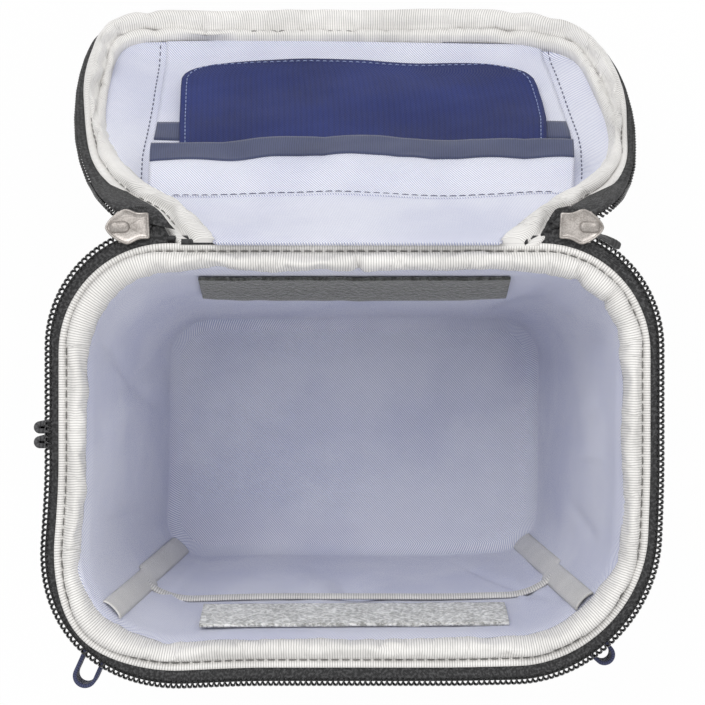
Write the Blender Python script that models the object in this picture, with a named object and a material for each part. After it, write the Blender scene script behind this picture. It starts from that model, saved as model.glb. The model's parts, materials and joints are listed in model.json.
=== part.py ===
# Top-loading camera bag, open, with its padded lid folded back over the rear wall.
# Units are metres, +Z is up, -Y is the front and the origin is the middle of the base.
# The lid pieces are drawn closed, as seen from the hinge, and an empty turns them open.

import math

import bmesh
import bpy
from mathutils import Matrix, Vector

MM = 0.001

# Fits
CLEARANCE = 0.3 * MM
RUNNING_GAP = 0.4 * MM

# Body, from the floor to the top of the rim binding
BODY_HEIGHT = 153 * MM
RIM_HALF_WIDTH = 97.5 * MM
RIM_FRONT = 66.5 * MM
RIM_REAR = 73.3 * MM
RIM_FRONT_RADIUS = 43 * MM
RIM_REAR_RADIUS = 36 * MM
BASE_HALF_WIDTH = 80 * MM
BASE_FRONT = 50 * MM
BASE_REAR = 60 * MM
BASE_RADIUS = 26 * MM
EDGE_RADIUS = 14 * MM
WALL_FLARE = 1.5
WALL_LEVEL_SHARES = (0.3, 0.6, 0.82, 1.0)

# Layers of the wall and the floor
BASE_PANEL = 2.0 * MM
BASE_PANEL_LAP = 1.0 * MM
SHELL = 1.2 * MM
FOAM = 7.0 * MM
LINING = 1.0 * MM

# Rim binding: shares of its width inwards and of its height
BINDING_WIDTH = 9.3 * MM
BINDING_HEIGHT = 9.5 * MM
BINDING_SECTION_SHARES = (
    (0.0, 0.0), (0.0, 0.5), (0.28, 0.58), (0.36, 0.84),
    (0.62, 1.0), (0.9, 0.86), (1.0, 0.55), (1.0, 0.0),
)

# Zip on the body
ZIP_SIDE = 4.6 * MM
ZIP_FRONT = 6.0 * MM
ZIP_REAR = 6.4 * MM
ZIP_FRONT_RADIUS_GAIN = 5.0 * MM
ZIP_DROP = 5.0 * MM
ZIP_END_ANGLE = 6
TAPE = 0.8 * MM
CHAIN_WIDTH = 2.6 * MM
CHAIN_HEIGHT = 2.4 * MM
TOOTH_PITCH = 3.6 * MM
TOOTH_DEPTH = 1.3 * MM

# Zip sliders: a shield plate above and below the chain, a nose post and side lips
SLIDER_LENGTH = 14.8 * MM
SLIDER_WIDTH = 11.8 * MM
SLIDER_PLATE = 1.3 * MM
SLIDER_ANGLE = 18.5
SLIDER_OUTLINE_SHARES = (
    (0.5, 0.0), (0.46, 0.22), (0.34, 0.38), (0.16, 0.48), (0.02, 0.5),
    (-0.1, 0.44), (-0.2, 0.37), (-0.5, 0.37),
)
POST_RADIUS = 0.7 * MM
POST_PLACE_SHARE = 0.3
LIP_WIDTH = 0.9 * MM
LIP_PLACE_SHARE = 0.44
LIP_START_SHARE = -0.08
LIP_LENGTH_SHARE = 0.3
PILL_LENGTH = 6.6 * MM
PILL_WIDTH = 3.6 * MM
PILL_HEIGHT = 0.9 * MM
PILL_PLACE_SHARE = 0.17

# Bar under each slider, and the cord pull that hangs from it
BAR_RADIUS = 0.7 * MM
BAR_DROP = 2.8 * MM
BAR_PLACE_SHARE = 0.22
EAR = 0.9 * MM
EAR_HALF_LENGTH = 1.3 * MM
PULL_LENGTH = 25 * MM
PULL_WIDTH = 3.4 * MM
PULL_WAIST = 2.6 * MM
PULL_END = 4.2 * MM
EYE_RADIUS = 2.2 * MM
EYE_TURN = 40
PULL_FLARE_SHARES = (0.6, 0.7)

# Hook-and-loop strips on the inner walls
STRIP_THICKNESS = 1.2 * MM
STRIP_HEIGHT = 26 * MM
STRIP_MARGIN = 2.5 * MM
FRONT_STRIP_TOP = 19 * MM
REAR_STRIP_TOP = 13 * MM
STRIP_LEVEL_SHARES = (1.0, 0.5, 0.0)

# Ribbed seam bindings down the inside front corners
SEAM_WIDTH = 8 * MM
SEAM_THICKNESS = 2.2 * MM
SEAM_ANGLE = 45
SEAM_SECTION_SHARES = ((-0.5, 0.0), (0.5, 0.0), (0.36, 1.0), (-0.36, 1.0))

# Tape loops under the zip at the front corners
LOOP_BAND = 1.3 * MM
LOOP_HOLE = 5.4 * MM
LOOP_REACH = 15 * MM
LOOP_HEIGHT = 10 * MM
LOOP_DROP = 5 * MM
LOOP_ANGLE = 37

# Folded webbing tab at the left side
TAB_LEAVES = 4
TAB_LEAF = 2.0 * MM
TAB_SLIT = 0.4 * MM
TAB_SLIT_DEPTH = 5 * MM
TAB_OVERHANG = 4 * MM
TAB_HEIGHT = 25 * MM
TAB_DROP = 3 * MM
TAB_PLACE = 10 * MM

# Slip pocket on the front wall
POCKET_THICKNESS = 3 * MM
POCKET_HEM = 1.6 * MM
POCKET_HEM_HEIGHT = 9 * MM
POCKET_BOTTOM = 16 * MM
POCKET_TOP = 98 * MM
POCKET_MARGIN = 4 * MM
POCKET_LEVEL_SHARES = (0.0, 0.35, 0.7, 1.0)

# Belt loop on the rear wall
BELT_LOOP_WIDTH = 44 * MM
BELT_LOOP_BAND = 1.8 * MM
BELT_LOOP_STANDOFF = 9 * MM
BELT_LOOP_BOTTOM = 28 * MM
BELT_LOOP_TOP = 98 * MM
BELT_LOOP_STITCHED = 10 * MM
BELT_LOOP_BEND = 7 * MM

# Lid: places run from the hinge to the far edge, heights run up from the hinge
HINGE_SETBACK = 2.0 * MM
LID_OPEN_ANGLE = 232
LID_SIDE_INSET = 1.0 * MM
LID_FRONT_OVERHANG = 3.0 * MM
LID_WIDEST = 80 * MM
LID_FAR_RADIUS = 40 * MM
LID_NEAR = 1.1 * MM
LID_CORNER_POWER = 3
LID_DOME = 22 * MM
LID_DOME_SIDE = 14 * MM
LID_DOME_NEAR = 40 * MM
LID_SHELL_NEAR = 9.5 * MM
LID_NEAR_LEAN = 3
LID_BINDING_HEIGHT = 6.4 * MM
LID_BINDING_START = 37
LID_ZIP_SIDE = 3.0 * MM
LID_ZIP_NEAR = 4.1 * MM
LID_ZIP_START = 47
LID_TAPE_HEIGHT = 3.4 * MM
TRAY_DEPTH = 8.0 * MM
TRAY_RIM = 1.6 * MM
TRAY_SIDE = 17 * MM
TRAY_FAR = 9 * MM
PANEL_NEAR = 22 * MM

# Fabric hinge between the lid and the rear wall
HINGE_SIDE = 40.5 * MM
HINGE_BEAD_RADIUS = 0.7 * MM
HINGE_FLANGE = 0.9 * MM
HINGE_FLANGE_DROP = 18 * MM
FLAP_BOTTOM = 0.6 * MM
FLAP_LOW = 1.4 * MM
FLAP_HIGH = 6.6 * MM

# Pocket on the lid's inner panel, and the flap tucked into it
PATCH = 0.8 * MM
BAND = 0.6 * MM
BAND_WIDTH = 11.5 * MM
LID_POCKET_NEAR = 33 * MM
LID_POCKET_LEVEL_SHARES = (0.0, 0.25, 0.55, 1.0)
LID_POCKET_MARGIN = 3 * MM
REAR_POCKET_FAR = 78 * MM
FRONT_POCKET_FAR = 62.5 * MM
CARD_FLAP_AXIS = 64.3 * MM
CARD_FLAP_FAR = 116.5 * MM
CARD_FLAP_SIDE = 32.5 * MM
CARD_FLAP_CORNER = 9 * MM
CARD_FLAP = 1.4 * MM

# How finely round stretches are drawn
CORNER_STEPS = 7
SIDE_STEPS = 2
NEAR_STEPS = 8
EDGE_STEPS = 3
DOME_STEPS = 4

# Places that follow from the sizes above
WALL_TOP = BODY_HEIGHT - BINDING_HEIGHT - CLEARANCE
FLOOR = BASE_PANEL + CLEARANCE
FOAM_DEPTH = SHELL + CLEARANCE
LINING_DEPTH = FOAM_DEPTH + FOAM + CLEARANCE
INNER_DEPTH = LINING_DEPTH + LINING
ZIP_LEVEL = BODY_HEIGHT - ZIP_DROP
HINGE_Y = RIM_REAR + HINGE_SETBACK
LID_HALF_WIDTH = RIM_HALF_WIDTH - LID_SIDE_INSET
LID_FAR = HINGE_Y + RIM_FRONT + LID_FRONT_OVERHANG
LID_SHELL_RIM = CLEARANCE + LID_BINDING_HEIGHT + CLEARANCE
HINGE_HALF_WIDTH = RIM_HALF_WIDTH - HINGE_SIDE
CARD_FLAP_HALF_WIDTH = LID_HALF_WIDTH - CARD_FLAP_SIDE


class Outline:
    """A rounded rectangle in plan, with its own front and rear corner radii."""

    def __init__(self, half, front, rear, front_radius, rear_radius):
        self.half = half
        self.front = front
        self.rear = rear
        self.front_radius = front_radius
        self.rear_radius = rear_radius

    def inset(self, depth):
        return Outline(
            self.half - depth, self.front - depth, self.rear - depth,
            self.front_radius - depth, self.rear_radius - depth,
        )

    def blend(self, other, share):
        def mix(here, there):
            return here + (there - here) * share

        return Outline(
            mix(self.half, other.half), mix(self.front, other.front), mix(self.rear, other.rear),
            mix(self.front_radius, other.front_radius), mix(self.rear_radius, other.rear_radius),
        )

    def front_corner(self):
        """The middle of the right front corner's arc."""
        return self.half - self.front_radius, self.front_radius - self.front

    def rear_corner(self):
        """The middle of the right rear corner's arc."""
        return self.half - self.rear_radius, self.rear - self.rear_radius

    def right_side(self, rear_angle):
        """Points from the front's right corner to the rear, ending rear_angle short of it."""
        x, y = self.front_corner()
        points = arc(x, y, self.front_radius, -90, 0, CORNER_STEPS)
        x_rear, y_rear = self.rear_corner()
        for step in range(1, SIDE_STEPS):
            share = step / SIDE_STEPS
            points.append((self.half, y + (y_rear - y) * share))
        return points + arc(x_rear, y_rear, self.rear_radius, 0, 90 - rear_angle, CORNER_STEPS)

    def run(self, rear_angle):
        """An open run from the left rear corner round the front to the right rear one."""
        right = self.right_side(rear_angle)
        left = [(-x, y) for x, y in reversed(right)]
        return left + [(0.0, -self.front)] + right

    def loop(self):
        """The whole outline, from the left rear corner anticlockwise."""
        return self.run(0) + [(0.0, self.rear)]


def arc(x, y, radius, start, end, steps):
    """Points along an arc, its two ends among them; angles are in degrees."""
    points = []
    for step in range(steps + 1):
        angle = math.radians(start + (end - start) * step / steps)
        points.append((x + radius * math.cos(angle), y + radius * math.sin(angle)))
    return points


RIM = Outline(RIM_HALF_WIDTH, RIM_FRONT, RIM_REAR, RIM_FRONT_RADIUS, RIM_REAR_RADIUS)
BASE = Outline(BASE_HALF_WIDTH, BASE_FRONT, BASE_REAR, BASE_RADIUS, BASE_RADIUS)
ZIP = Outline(
    RIM_HALF_WIDTH + ZIP_SIDE, RIM_FRONT + ZIP_FRONT, RIM_REAR + ZIP_REAR,
    RIM_FRONT_RADIUS + ZIP_FRONT_RADIUS_GAIN, RIM_REAR_RADIUS + ZIP_SIDE,
)


# Scene and mesh helpers

def clear_scene():
    for item in list(bpy.data.objects):
        bpy.data.objects.remove(item, do_unlink=True)


def material(name, colour, roughness, metallic=0.0):
    """A plain finish, made once and shared by the pieces that have it."""
    made = bpy.data.materials.get(name)
    if made is None:
        made = bpy.data.materials.new(name)
        made.use_nodes = True
        shader = made.node_tree.nodes["Principled BSDF"]
        shader.inputs["Base Color"].default_value = (*colour, 1.0)
        shader.inputs["Roughness"].default_value = roughness
        shader.inputs["Metallic"].default_value = metallic
        made.diffuse_color = (*colour, 1.0)
    return made


def nylon():
    return material("black_nylon", (0.03, 0.03, 0.032), 0.75)


def foam():
    return material("grey_foam", (0.35, 0.35, 0.36), 0.9)


def lavender():
    return material("lavender_lining", (0.55, 0.58, 0.75), 0.7)


def grosgrain():
    return material("pale_grosgrain", (0.75, 0.73, 0.7), 0.8)


def zip_plastic():
    return material("zip_black", (0.015, 0.015, 0.016), 0.35)


def nickel():
    return material("nickel", (0.6, 0.56, 0.53), 0.3, 1.0)


def piece(name, verts, faces, finish, parent=None, smooth=True):
    """One sub-part: a closed body with its faces pointing out."""
    mesh = bpy.data.meshes.new(name)
    shape = bmesh.new()
    made = [shape.verts.new(vert) for vert in verts]
    for face in faces:
        shape.faces.new([made[index] for index in face])
    bmesh.ops.recalc_face_normals(shape, faces=shape.faces)
    shape.to_mesh(mesh)
    shape.free()
    if smooth:
        mesh.shade_smooth()
        mesh.set_sharp_from_angle(angle=math.radians(35))
    mesh.materials.append(finish)
    thing = bpy.data.objects.new(name, mesh)
    bpy.context.collection.objects.link(thing)
    thing.parent = parent
    return thing


def empty(name, place, turn=None, parent=None):
    """A joint's axis, which carries the pieces that turn on it."""
    thing = bpy.data.objects.new(name, None)
    bpy.context.collection.objects.link(thing)
    thing.parent = parent
    thing.matrix_basis = Matrix.Translation(place) @ (turn or Matrix.Identity(4))
    return thing


def skin(rings, joined=False):
    """Faces between rings of equal count, with both ends capped unless they are joined."""
    count = len(rings[0])
    verts = [vert for ring in rings for vert in ring]
    faces = []
    last = len(rings) if joined else len(rings) - 1
    for row in range(last):
        here = row * count
        there = ((row + 1) % len(rings)) * count
        for column in range(count):
            beside = (column + 1) % count
            faces.append((here + column, here + beside, there + beside, there + column))
    if not joined:
        faces.append(tuple(range(count)))
        faces.append(tuple(range((len(rings) - 1) * count, len(rings) * count)))
    return verts, faces


def prism(points, low, high):
    """A flat outline carried straight up from low to high."""
    rings = [[(x, y, level) for x, y in points] for level in (low, high)]
    return skin(rings)


def combine(thing, other, operation):
    """Joins another shape to a piece, or cuts it away, and leaves it as a hidden guide."""
    other.hide_render = True
    other.display_type = "WIRE"
    step = thing.modifiers.new(other.name, "BOOLEAN")
    step.operation = operation
    step.solver = "EXACT"
    step.object = other
    return thing


# Body walls and floor

def wall(level, depth):
    """The body's outline at a level, a depth inwards from its outer face."""
    share = max(0.0, (level - FLOOR) / (WALL_TOP - FLOOR))
    return BASE.blend(RIM, share ** WALL_FLARE).inset(depth)


def ring_at(outline, level):
    return [(x, y, level) for x, y in outline.loop()]


def cup_side(depth, low_edge=True):
    """Rings up one face of a cup: its rounded lower edge, then its flared wall."""
    rings = []
    radius = EDGE_RADIUS - depth
    if low_edge:
        for step in range(EDGE_STEPS):
            angle = math.radians(90 * step / EDGE_STEPS)
            level = FLOOR + depth + radius * (1 - math.cos(angle))
            rings.append(ring_at(wall(level, depth + radius * (1 - math.sin(angle))), level))
    start = FLOOR + EDGE_RADIUS
    rings.append(ring_at(wall(start, depth), start))
    for share in WALL_LEVEL_SHARES:
        level = start + (WALL_TOP - start) * share
        rings.append(ring_at(wall(level, depth), level))
    return rings


def build_cup(name, depth, thickness, finish):
    rings = cup_side(depth) + list(reversed(cup_side(depth + thickness)))
    piece(name, *skin(rings), finish)


def build_body():
    bottom = [(x, y) for x, y in wall(FLOOR, EDGE_RADIUS - BASE_PANEL_LAP).loop()]
    piece("base_panel", *prism(bottom, 0.0, BASE_PANEL), nylon())
    build_cup("outer_shell", 0.0, SHELL, nylon())
    build_cup("body_lining", LINING_DEPTH, LINING, lavender())

    # The floor pad fills the rounded edge, and the wall pad stands on the pad's rim
    pad_top = FLOOR + LINING_DEPTH - CLEARANCE
    rings = [ring for ring in cup_side(FOAM_DEPTH)[:EDGE_STEPS] if ring[0][2] < pad_top]
    under_lining = LINING_DEPTH - CLEARANCE + (EDGE_RADIUS - LINING_DEPTH)
    rings.append(ring_at(wall(pad_top, under_lining), pad_top))
    piece("foam_base", *skin(rings), foam())
    outer = cup_side(FOAM_DEPTH, low_edge=False)
    inner = cup_side(LINING_DEPTH - CLEARANCE, low_edge=False)
    piece("foam_wall", *skin(outer + list(reversed(inner)), joined=True), foam())


def build_rim_binding():
    """A padded ribbed roll with its stitched edge outside, carried round the rim."""
    rings = []
    for across, up in BINDING_SECTION_SHARES:
        level = WALL_TOP + CLEARANCE + BINDING_HEIGHT * up
        rings.append(ring_at(RIM.inset(BINDING_WIDTH * across), level))
    piece("rim_binding", *skin(rings, joined=True), grosgrain())


def strip(inner, outer, low, high):
    """A flat band between two open runs of points, with its ends closed."""
    rings = []
    for (x, y), (x_out, y_out) in zip(inner, outer):
        rings.append([(x, y, low), (x_out, y_out, low), (x_out, y_out, high), (x, y, high)])
    return skin(rings)


def evenly(points, count):
    """A run of points walked in equal steps, with the direction to its right at each."""
    lengths = [0.0]
    for here, there in zip(points, points[1:]):
        lengths.append(lengths[-1] + math.dist(here, there))
    walked = []
    for step in range(count + 1):
        target = lengths[-1] * step / count
        index = 0
        while index < len(points) - 2 and lengths[index + 1] < target:
            index += 1
        span = lengths[index + 1] - lengths[index]
        share = (target - lengths[index]) / span
        x, y = points[index]
        x_next, y_next = points[index + 1]
        right = ((y_next - y) / span, (x - x_next) / span)
        walked.append((x + (x_next - x) * share, y + (y_next - y) * share, right))
    return walked


def run_length(points):
    return sum(math.dist(here, there) for here, there in zip(points, points[1:]))


def comb(points, low, high):
    """A zip chain as one toothed bar, with its teeth on the right of the run."""
    teeth = round(run_length(points) / TOOTH_PITCH)
    rings = []
    for index, (x, y, right) in enumerate(evenly(points, teeth * 2)):
        tip = 0.0 if index % 2 else -TOOTH_DEPTH
        near = (x - right[0] * CHAIN_WIDTH, y - right[1] * CHAIN_WIDTH)
        far = (x + right[0] * tip, y + right[1] * tip)
        rings.append([(*near, low), (*far, low), (*far, high), (*near, high)])
    return skin(rings)


def build_body_zip():
    chain_edge = ZIP.run(ZIP_END_ANGLE)
    tape_edge = ZIP.inset(CHAIN_WIDTH + CLEARANCE).run(ZIP_END_ANGLE)
    seam = RIM.inset(-CLEARANCE).run(ZIP_END_ANGLE)
    half = TAPE / 2
    piece("body_zip_tape", *strip(seam, tape_edge, ZIP_LEVEL - half, ZIP_LEVEL + half), nylon())
    half = CHAIN_HEIGHT / 2
    piece("body_zip_chain", *comb(chain_edge, ZIP_LEVEL - half, ZIP_LEVEL + half), zip_plastic())


# Zip sliders and their pulls

def slider_radius():
    """The sliders' distance from the middle of the zip's rear corner."""
    return ZIP.rear_radius + RUNNING_GAP + POST_RADIUS


def box(name, low, high, parent):
    """A block between two opposite corners."""
    corners = [(low[0], low[1]), (high[0], low[1]), (high[0], high[1]), (low[0], high[1])]
    return piece(name, *prism(corners, low[2], high[2]), nickel(), parent, smooth=False)


def round_bar(name, radius, half_length, place, parent, finish):
    """A bar along the parent's Y axis."""
    rings = []
    for y in (-half_length, half_length):
        rings.append([(place[0] + x, place[1] + y, place[2] + z)
                      for x, z in arc(0, 0, radius, 0, 315, 7)])
    return piece(name, *skin(rings), finish, parent)


def build_slider(side, sign):
    """A slider on the rear corner's arc; its nose points outwards and its tail to the hinge."""
    x, y = ZIP.rear_corner()
    corner = empty("zip_corner_" + side, (sign * x, y, ZIP_LEVEL))
    angle = math.radians(90 + SLIDER_ANGLE)
    away = Vector((-sign * math.cos(angle), math.sin(angle), 0.0))
    nose = Vector((sign * math.sin(angle), math.cos(angle), 0.0))
    up = Vector((0.0, 0.0, 1.0))
    turn = Matrix((nose, away, up)).transposed().to_4x4()
    seat = empty("slider_seat_" + side, away * slider_radius(), turn, corner)

    half_gap = CHAIN_HEIGHT / 2 + RUNNING_GAP
    outside = half_gap + SLIDER_PLATE
    upper = [(SLIDER_LENGTH * along, SLIDER_WIDTH * across)
             for along, across in SLIDER_OUTLINE_SHARES]
    lower = [(along, -across) for along, across in reversed(upper[1:])]
    shield = upper + lower

    body = piece("slider_" + side, *prism(shield, half_gap, outside), nickel(), seat, smooth=False)
    plate = piece("slider_plate_" + side, *prism(shield, -outside, -half_gap), nickel(), seat)
    combine(body, plate, "UNION")

    sunk = SLIDER_PLATE / 2
    post_place = (SLIDER_LENGTH * POST_PLACE_SHARE, 0.0)
    post = prism(arc(*post_place, POST_RADIUS, 0, 300, 5), -half_gap - sunk, half_gap + sunk)
    combine(body, piece("slider_post_" + side, *post, nickel(), seat), "UNION")

    lip_out = SLIDER_WIDTH * LIP_PLACE_SHARE
    lip_start = SLIDER_LENGTH * LIP_START_SHARE
    lip_end = lip_start + SLIDER_LENGTH * LIP_LENGTH_SHARE
    slot = TAPE / 2 + CLEARANCE
    for label, edge in (("inner", -lip_out), ("outer", lip_out - LIP_WIDTH)):
        for level, low, high in (("high", slot, half_gap + sunk), ("low", -half_gap - sunk, -slot)):
            lip = box(
                "slider_lip_" + label + level + side,
                (lip_start, edge, low), (lip_end, edge + LIP_WIDTH, high), seat,
            )
            combine(body, lip, "UNION")

    pill_half = PILL_WIDTH / 2
    pill_reach = PILL_LENGTH / 2 - pill_half
    pill_x = SLIDER_LENGTH * PILL_PLACE_SHARE
    pill = arc(pill_x + pill_reach, 0, pill_half, -90, 90, 4)
    pill += arc(pill_x - pill_reach, 0, pill_half, 90, 270, 4)
    dome = prism(pill, outside - sunk, outside + PILL_HEIGHT)
    combine(body, piece("slider_pill_" + side, *dome, nickel(), seat), "UNION")

    # The bar hangs below the lower plate between two ears
    bar_x = SLIDER_LENGTH * BAR_PLACE_SHARE
    bar_level = -outside - BAR_DROP
    eye_half = PULL_WIDTH / 2
    for label, edge in (("inner", -eye_half - CLEARANCE - EAR), ("outer", eye_half + CLEARANCE)):
        ear = box(
            "slider_ear_" + label + side,
            (bar_x - EAR_HALF_LENGTH, edge, bar_level - EAR_HALF_LENGTH),
            (bar_x + EAR_HALF_LENGTH, edge + EAR, -outside + sunk), seat,
        )
        combine(body, ear, "UNION")
    bar = round_bar(
        "slider_bar_" + side, BAR_RADIUS, eye_half + CLEARANCE + EAR / 2,
        (bar_x, 0.0, bar_level), seat, nickel(),
    )
    combine(body, bar, "UNION")

    # The pull is a flat cord with an eye round the bar and a wider moulded end
    swing = empty("pull_axis_" + side, (bar_x, 0.0, bar_level), None, seat)
    waist = PULL_WAIST / 2
    end = PULL_END / 2
    tip = PULL_LENGTH - end
    flare_start, flare_end = (-tip * share for share in PULL_FLARE_SHARES)
    outline = arc(0, 0, EYE_RADIUS, -EYE_TURN, 180 + EYE_TURN, 8)
    outline += [(-waist, -EYE_RADIUS - waist), (-waist, flare_start), (-end, flare_end)]
    outline += arc(0, -tip, end, 180, 360, 5)
    outline += [(end, flare_end), (waist, flare_start), (waist, -EYE_RADIUS - waist)]
    rings = [[(x, depth, z) for x, z in outline] for depth in (-eye_half, eye_half)]
    pull = piece("pull_" + side, *skin(rings), zip_plastic(), swing)
    eye = round_bar(
        "pull_eye_" + side, BAR_RADIUS + CLEARANCE, PULL_WIDTH, (0.0, 0.0, 0.0), swing, nickel(),
    )
    combine(pull, eye, "DIFFERENCE")


# Things sewn to the walls

def slab(name, across, levels, depths, face, finish, smooth=True):
    """A flat piece on the front or rear wall, between two depths from its outer face."""
    rings = []
    for level in levels:
        places = []
        for depth in depths:
            outline = wall(level, depth)
            places.append(-outline.front if face == "front" else outline.rear)
        rings.append([
            (across[0], places[0], level), (across[1], places[0], level),
            (across[1], places[1], level), (across[0], places[1], level),
        ])
    return piece(name, *skin(rings), finish, smooth=smooth)


def build_strips():
    """The two hook-and-loop strips near the top of the inner walls."""
    depths = (INNER_DEPTH + CLEARANCE, INNER_DEPTH + CLEARANCE + STRIP_THICKNESS)
    corners = {"front": RIM.front_corner()[0], "rear": RIM.rear_corner()[0]}
    tops = {"front": BODY_HEIGHT - FRONT_STRIP_TOP, "rear": BODY_HEIGHT - REAR_STRIP_TOP}
    for face in ("front", "rear"):
        half = corners["front"] - STRIP_MARGIN
        levels = [tops[face] - STRIP_HEIGHT * share for share in STRIP_LEVEL_SHARES]
        slab(face + "_grip_strip", (-half, half), levels, depths, face,
             material("grip_" + face, (0.4, 0.4, 0.39), 0.95))


def build_corner_bindings():
    """Ribbed tape over the lining's seams in the two front corners."""
    facet = 1 - math.cos(math.radians(90 / CORNER_STEPS / 2))
    for side, sign in (("left", -1), ("right", 1)):
        rings = []
        start = FLOOR + EDGE_RADIUS
        for share in (0.0, *WALL_LEVEL_SHARES):
            level = start + (WALL_TOP - start) * share
            outline = wall(level, INNER_DEPTH)
            x, y = outline.front_corner()
            angle = math.radians(-SEAM_ANGLE)
            away = Vector((math.cos(angle), math.sin(angle)))
            along = Vector((-away.y, away.x))
            radius = outline.front_radius * (1 - facet) - CLEARANCE
            back = Vector((x, y)) + away * math.sqrt(radius ** 2 - (SEAM_WIDTH / 2) ** 2)
            ring = []
            for run, rise in SEAM_SECTION_SHARES:
                spot = back + along * (SEAM_WIDTH * run) - away * (SEAM_THICKNESS * rise)
                ring.append((sign * spot.x, spot.y, level))
            rings.append(ring)
        piece("corner_binding_" + side, *skin(rings), grosgrain())


def build_corner_loops():
    """Ribbed tape folded into an eye and sewn under the zip at each front corner."""
    top = ZIP_LEVEL - CHAIN_HEIGHT / 2 - LOOP_DROP
    outline = wall(top, -CLEARANCE - LOOP_BAND)
    centre_x, centre_y = outline.front_corner()
    angle = math.radians(LOOP_ANGLE)
    middle = centre_x + outline.front_radius * math.sin(angle)
    half = LOOP_HOLE / 2

    def wall_place(x):
        across = x - centre_x
        return centre_y - math.sqrt(outline.front_radius ** 2 - across ** 2)

    tip = wall_place(middle) - LOOP_REACH + half
    inner = [(middle + half, wall_place(middle + half)), (middle, wall_place(middle)),
             (middle - half, wall_place(middle - half))]
    inner += arc(middle, tip, half, 180, 360, 6)
    count = len(inner)
    outer = []
    for index, (x, y) in enumerate(inner):
        before = Vector(inner[index - 1])
        after = Vector(inner[(index + 1) % count])
        edge_in = (Vector((x, y)) - before).normalized()
        edge_out = (after - Vector((x, y))).normalized()
        out_in = Vector((edge_in.y, -edge_in.x))
        out_out = Vector((edge_out.y, -edge_out.x))
        mitre = (out_in + out_out).normalized()
        reach = LOOP_BAND / max(mitre.dot(out_in), 0.5)
        outer.append((x - mitre.x * -reach, y - mitre.y * -reach))
    for side, sign in (("left", -1), ("right", 1)):
        rings = []
        for ring, level in ((inner, top), (outer, top), (outer, top - LOOP_HEIGHT),
                            (inner, top - LOOP_HEIGHT)):
            rings.append([(sign * x, y, level) for x, y in ring])
        piece("corner_loop_" + side, *skin(rings, joined=True),
              material("navy_grosgrain", (0.02, 0.025, 0.05), 0.8))


def build_side_tab():
    """Webbing folded into leaves, sewn on edge to the left wall and open at its outer end."""
    top = ZIP_LEVEL - CHAIN_HEIGHT / 2 - TAB_DROP
    root = -(wall(top, -CLEARANCE).half)
    end = -(ZIP.half + TAB_OVERHANG)
    pitch = TAB_LEAF + TAB_SLIT
    start = TAB_PLACE - (TAB_LEAVES * pitch - TAB_SLIT) / 2
    outline = [(root, start)]
    for leaf in range(TAB_LEAVES):
        low = start + leaf * pitch
        outline += [(end, low), (end, low + TAB_LEAF)]
        if leaf < TAB_LEAVES - 1:
            outline += [(end + TAB_SLIT_DEPTH, low + TAB_LEAF),
                        (end + TAB_SLIT_DEPTH, low + pitch)]
    outline.append((root, start + TAB_LEAVES * pitch - TAB_SLIT))
    piece("side_tab", *prism(outline, top - TAB_HEIGHT, top), nylon(), smooth=False)


def build_front_pocket():
    """A flat slip pocket on the front wall, with a hem round its mouth."""
    half = BASE.front_corner()[0] - POCKET_MARGIN
    levels = [POCKET_BOTTOM + (POCKET_TOP - POCKET_BOTTOM) * share
              for share in POCKET_LEVEL_SHARES]
    depths = (-CLEARANCE, -CLEARANCE - POCKET_THICKNESS)
    pocket = slab("front_pocket", (-half, half), levels, depths, "front", nylon())
    hem_levels = [POCKET_TOP - POCKET_HEM_HEIGHT, POCKET_TOP]
    hem_depths = (depths[1] - CLEARANCE, depths[1] - CLEARANCE - POCKET_HEM)
    slab("front_pocket_hem", (-half, half), hem_levels, hem_depths, "front", nylon())
    return pocket


def build_belt_loop():
    """A strap on the rear wall, sewn at both ends and standing off between them."""
    bottom, top = BELT_LOOP_BOTTOM, BELT_LOOP_TOP
    stitched, bend = BELT_LOOP_STITCHED, BELT_LOOP_BEND
    path = (
        (bottom, CLEARANCE), (bottom + stitched, CLEARANCE),
        (bottom + stitched + bend, BELT_LOOP_STANDOFF),
        (top - stitched - bend, BELT_LOOP_STANDOFF),
        (top - stitched, CLEARANCE), (top, CLEARANCE),
    )
    half = BELT_LOOP_WIDTH / 2
    rings = []
    for level, standoff in path:
        near = wall(level, -standoff).rear
        far = near + BELT_LOOP_BAND
        rings.append([(-half, near, level), (half, near, level),
                      (half, far, level), (-half, far, level)])
    piece("belt_loop", *skin(rings), nylon())


def build_hinge_seam():
    """The rear seam: a bead on the hinge line with a flange down the rear wall."""
    half = HINGE_HALF_WIDTH
    y = HINGE_Y
    radius = HINGE_BEAD_RADIUS
    near = RIM_REAR + CLEARANCE
    bottom = BODY_HEIGHT - HINGE_FLANGE_DROP
    section = [(y + out, BODY_HEIGHT + up) for out, up in arc(0, 0, radius, -45, 180, 5)]
    section += [(near, BODY_HEIGHT - radius), (near, bottom), (near + HINGE_FLANGE, bottom),
                (near + HINGE_FLANGE, BODY_HEIGHT - radius * 2)]
    rings = [[(x, out, up) for out, up in section] for x in (-half, half)]
    piece("hinge_seam", *skin(rings), nylon())


# Lid, drawn closed in hinge coordinates: x across, then towards the front, then up

def lid_run(side, far, near, start_angle):
    """An open run round the lid, from the hinge's left to its right.

    The half next to the hinge is a superellipse; the far half has round corners.
    """
    half = LID_HALF_WIDTH - side
    reach = LID_WIDEST - near
    radius = LID_FAR_RADIUS - max(side, far)
    power = 2 / LID_CORNER_POWER
    left = []
    for step in range(NEAR_STEPS + 1):
        angle = math.radians(start_angle + (90 - start_angle) * step / NEAR_STEPS)
        left.append((
            -half * math.sin(angle) ** power,
            LID_WIDEST - reach * max(math.cos(angle), 0.0) ** power,
        ))
    edge = LID_FAR - far
    left += [(-x, y) for x, y in arc(half - radius, edge - radius, radius, 0, 90, CORNER_STEPS)]
    right = [(-x, y) for x, y in reversed(left)]
    return left + [(0.0, edge)] + right


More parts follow.
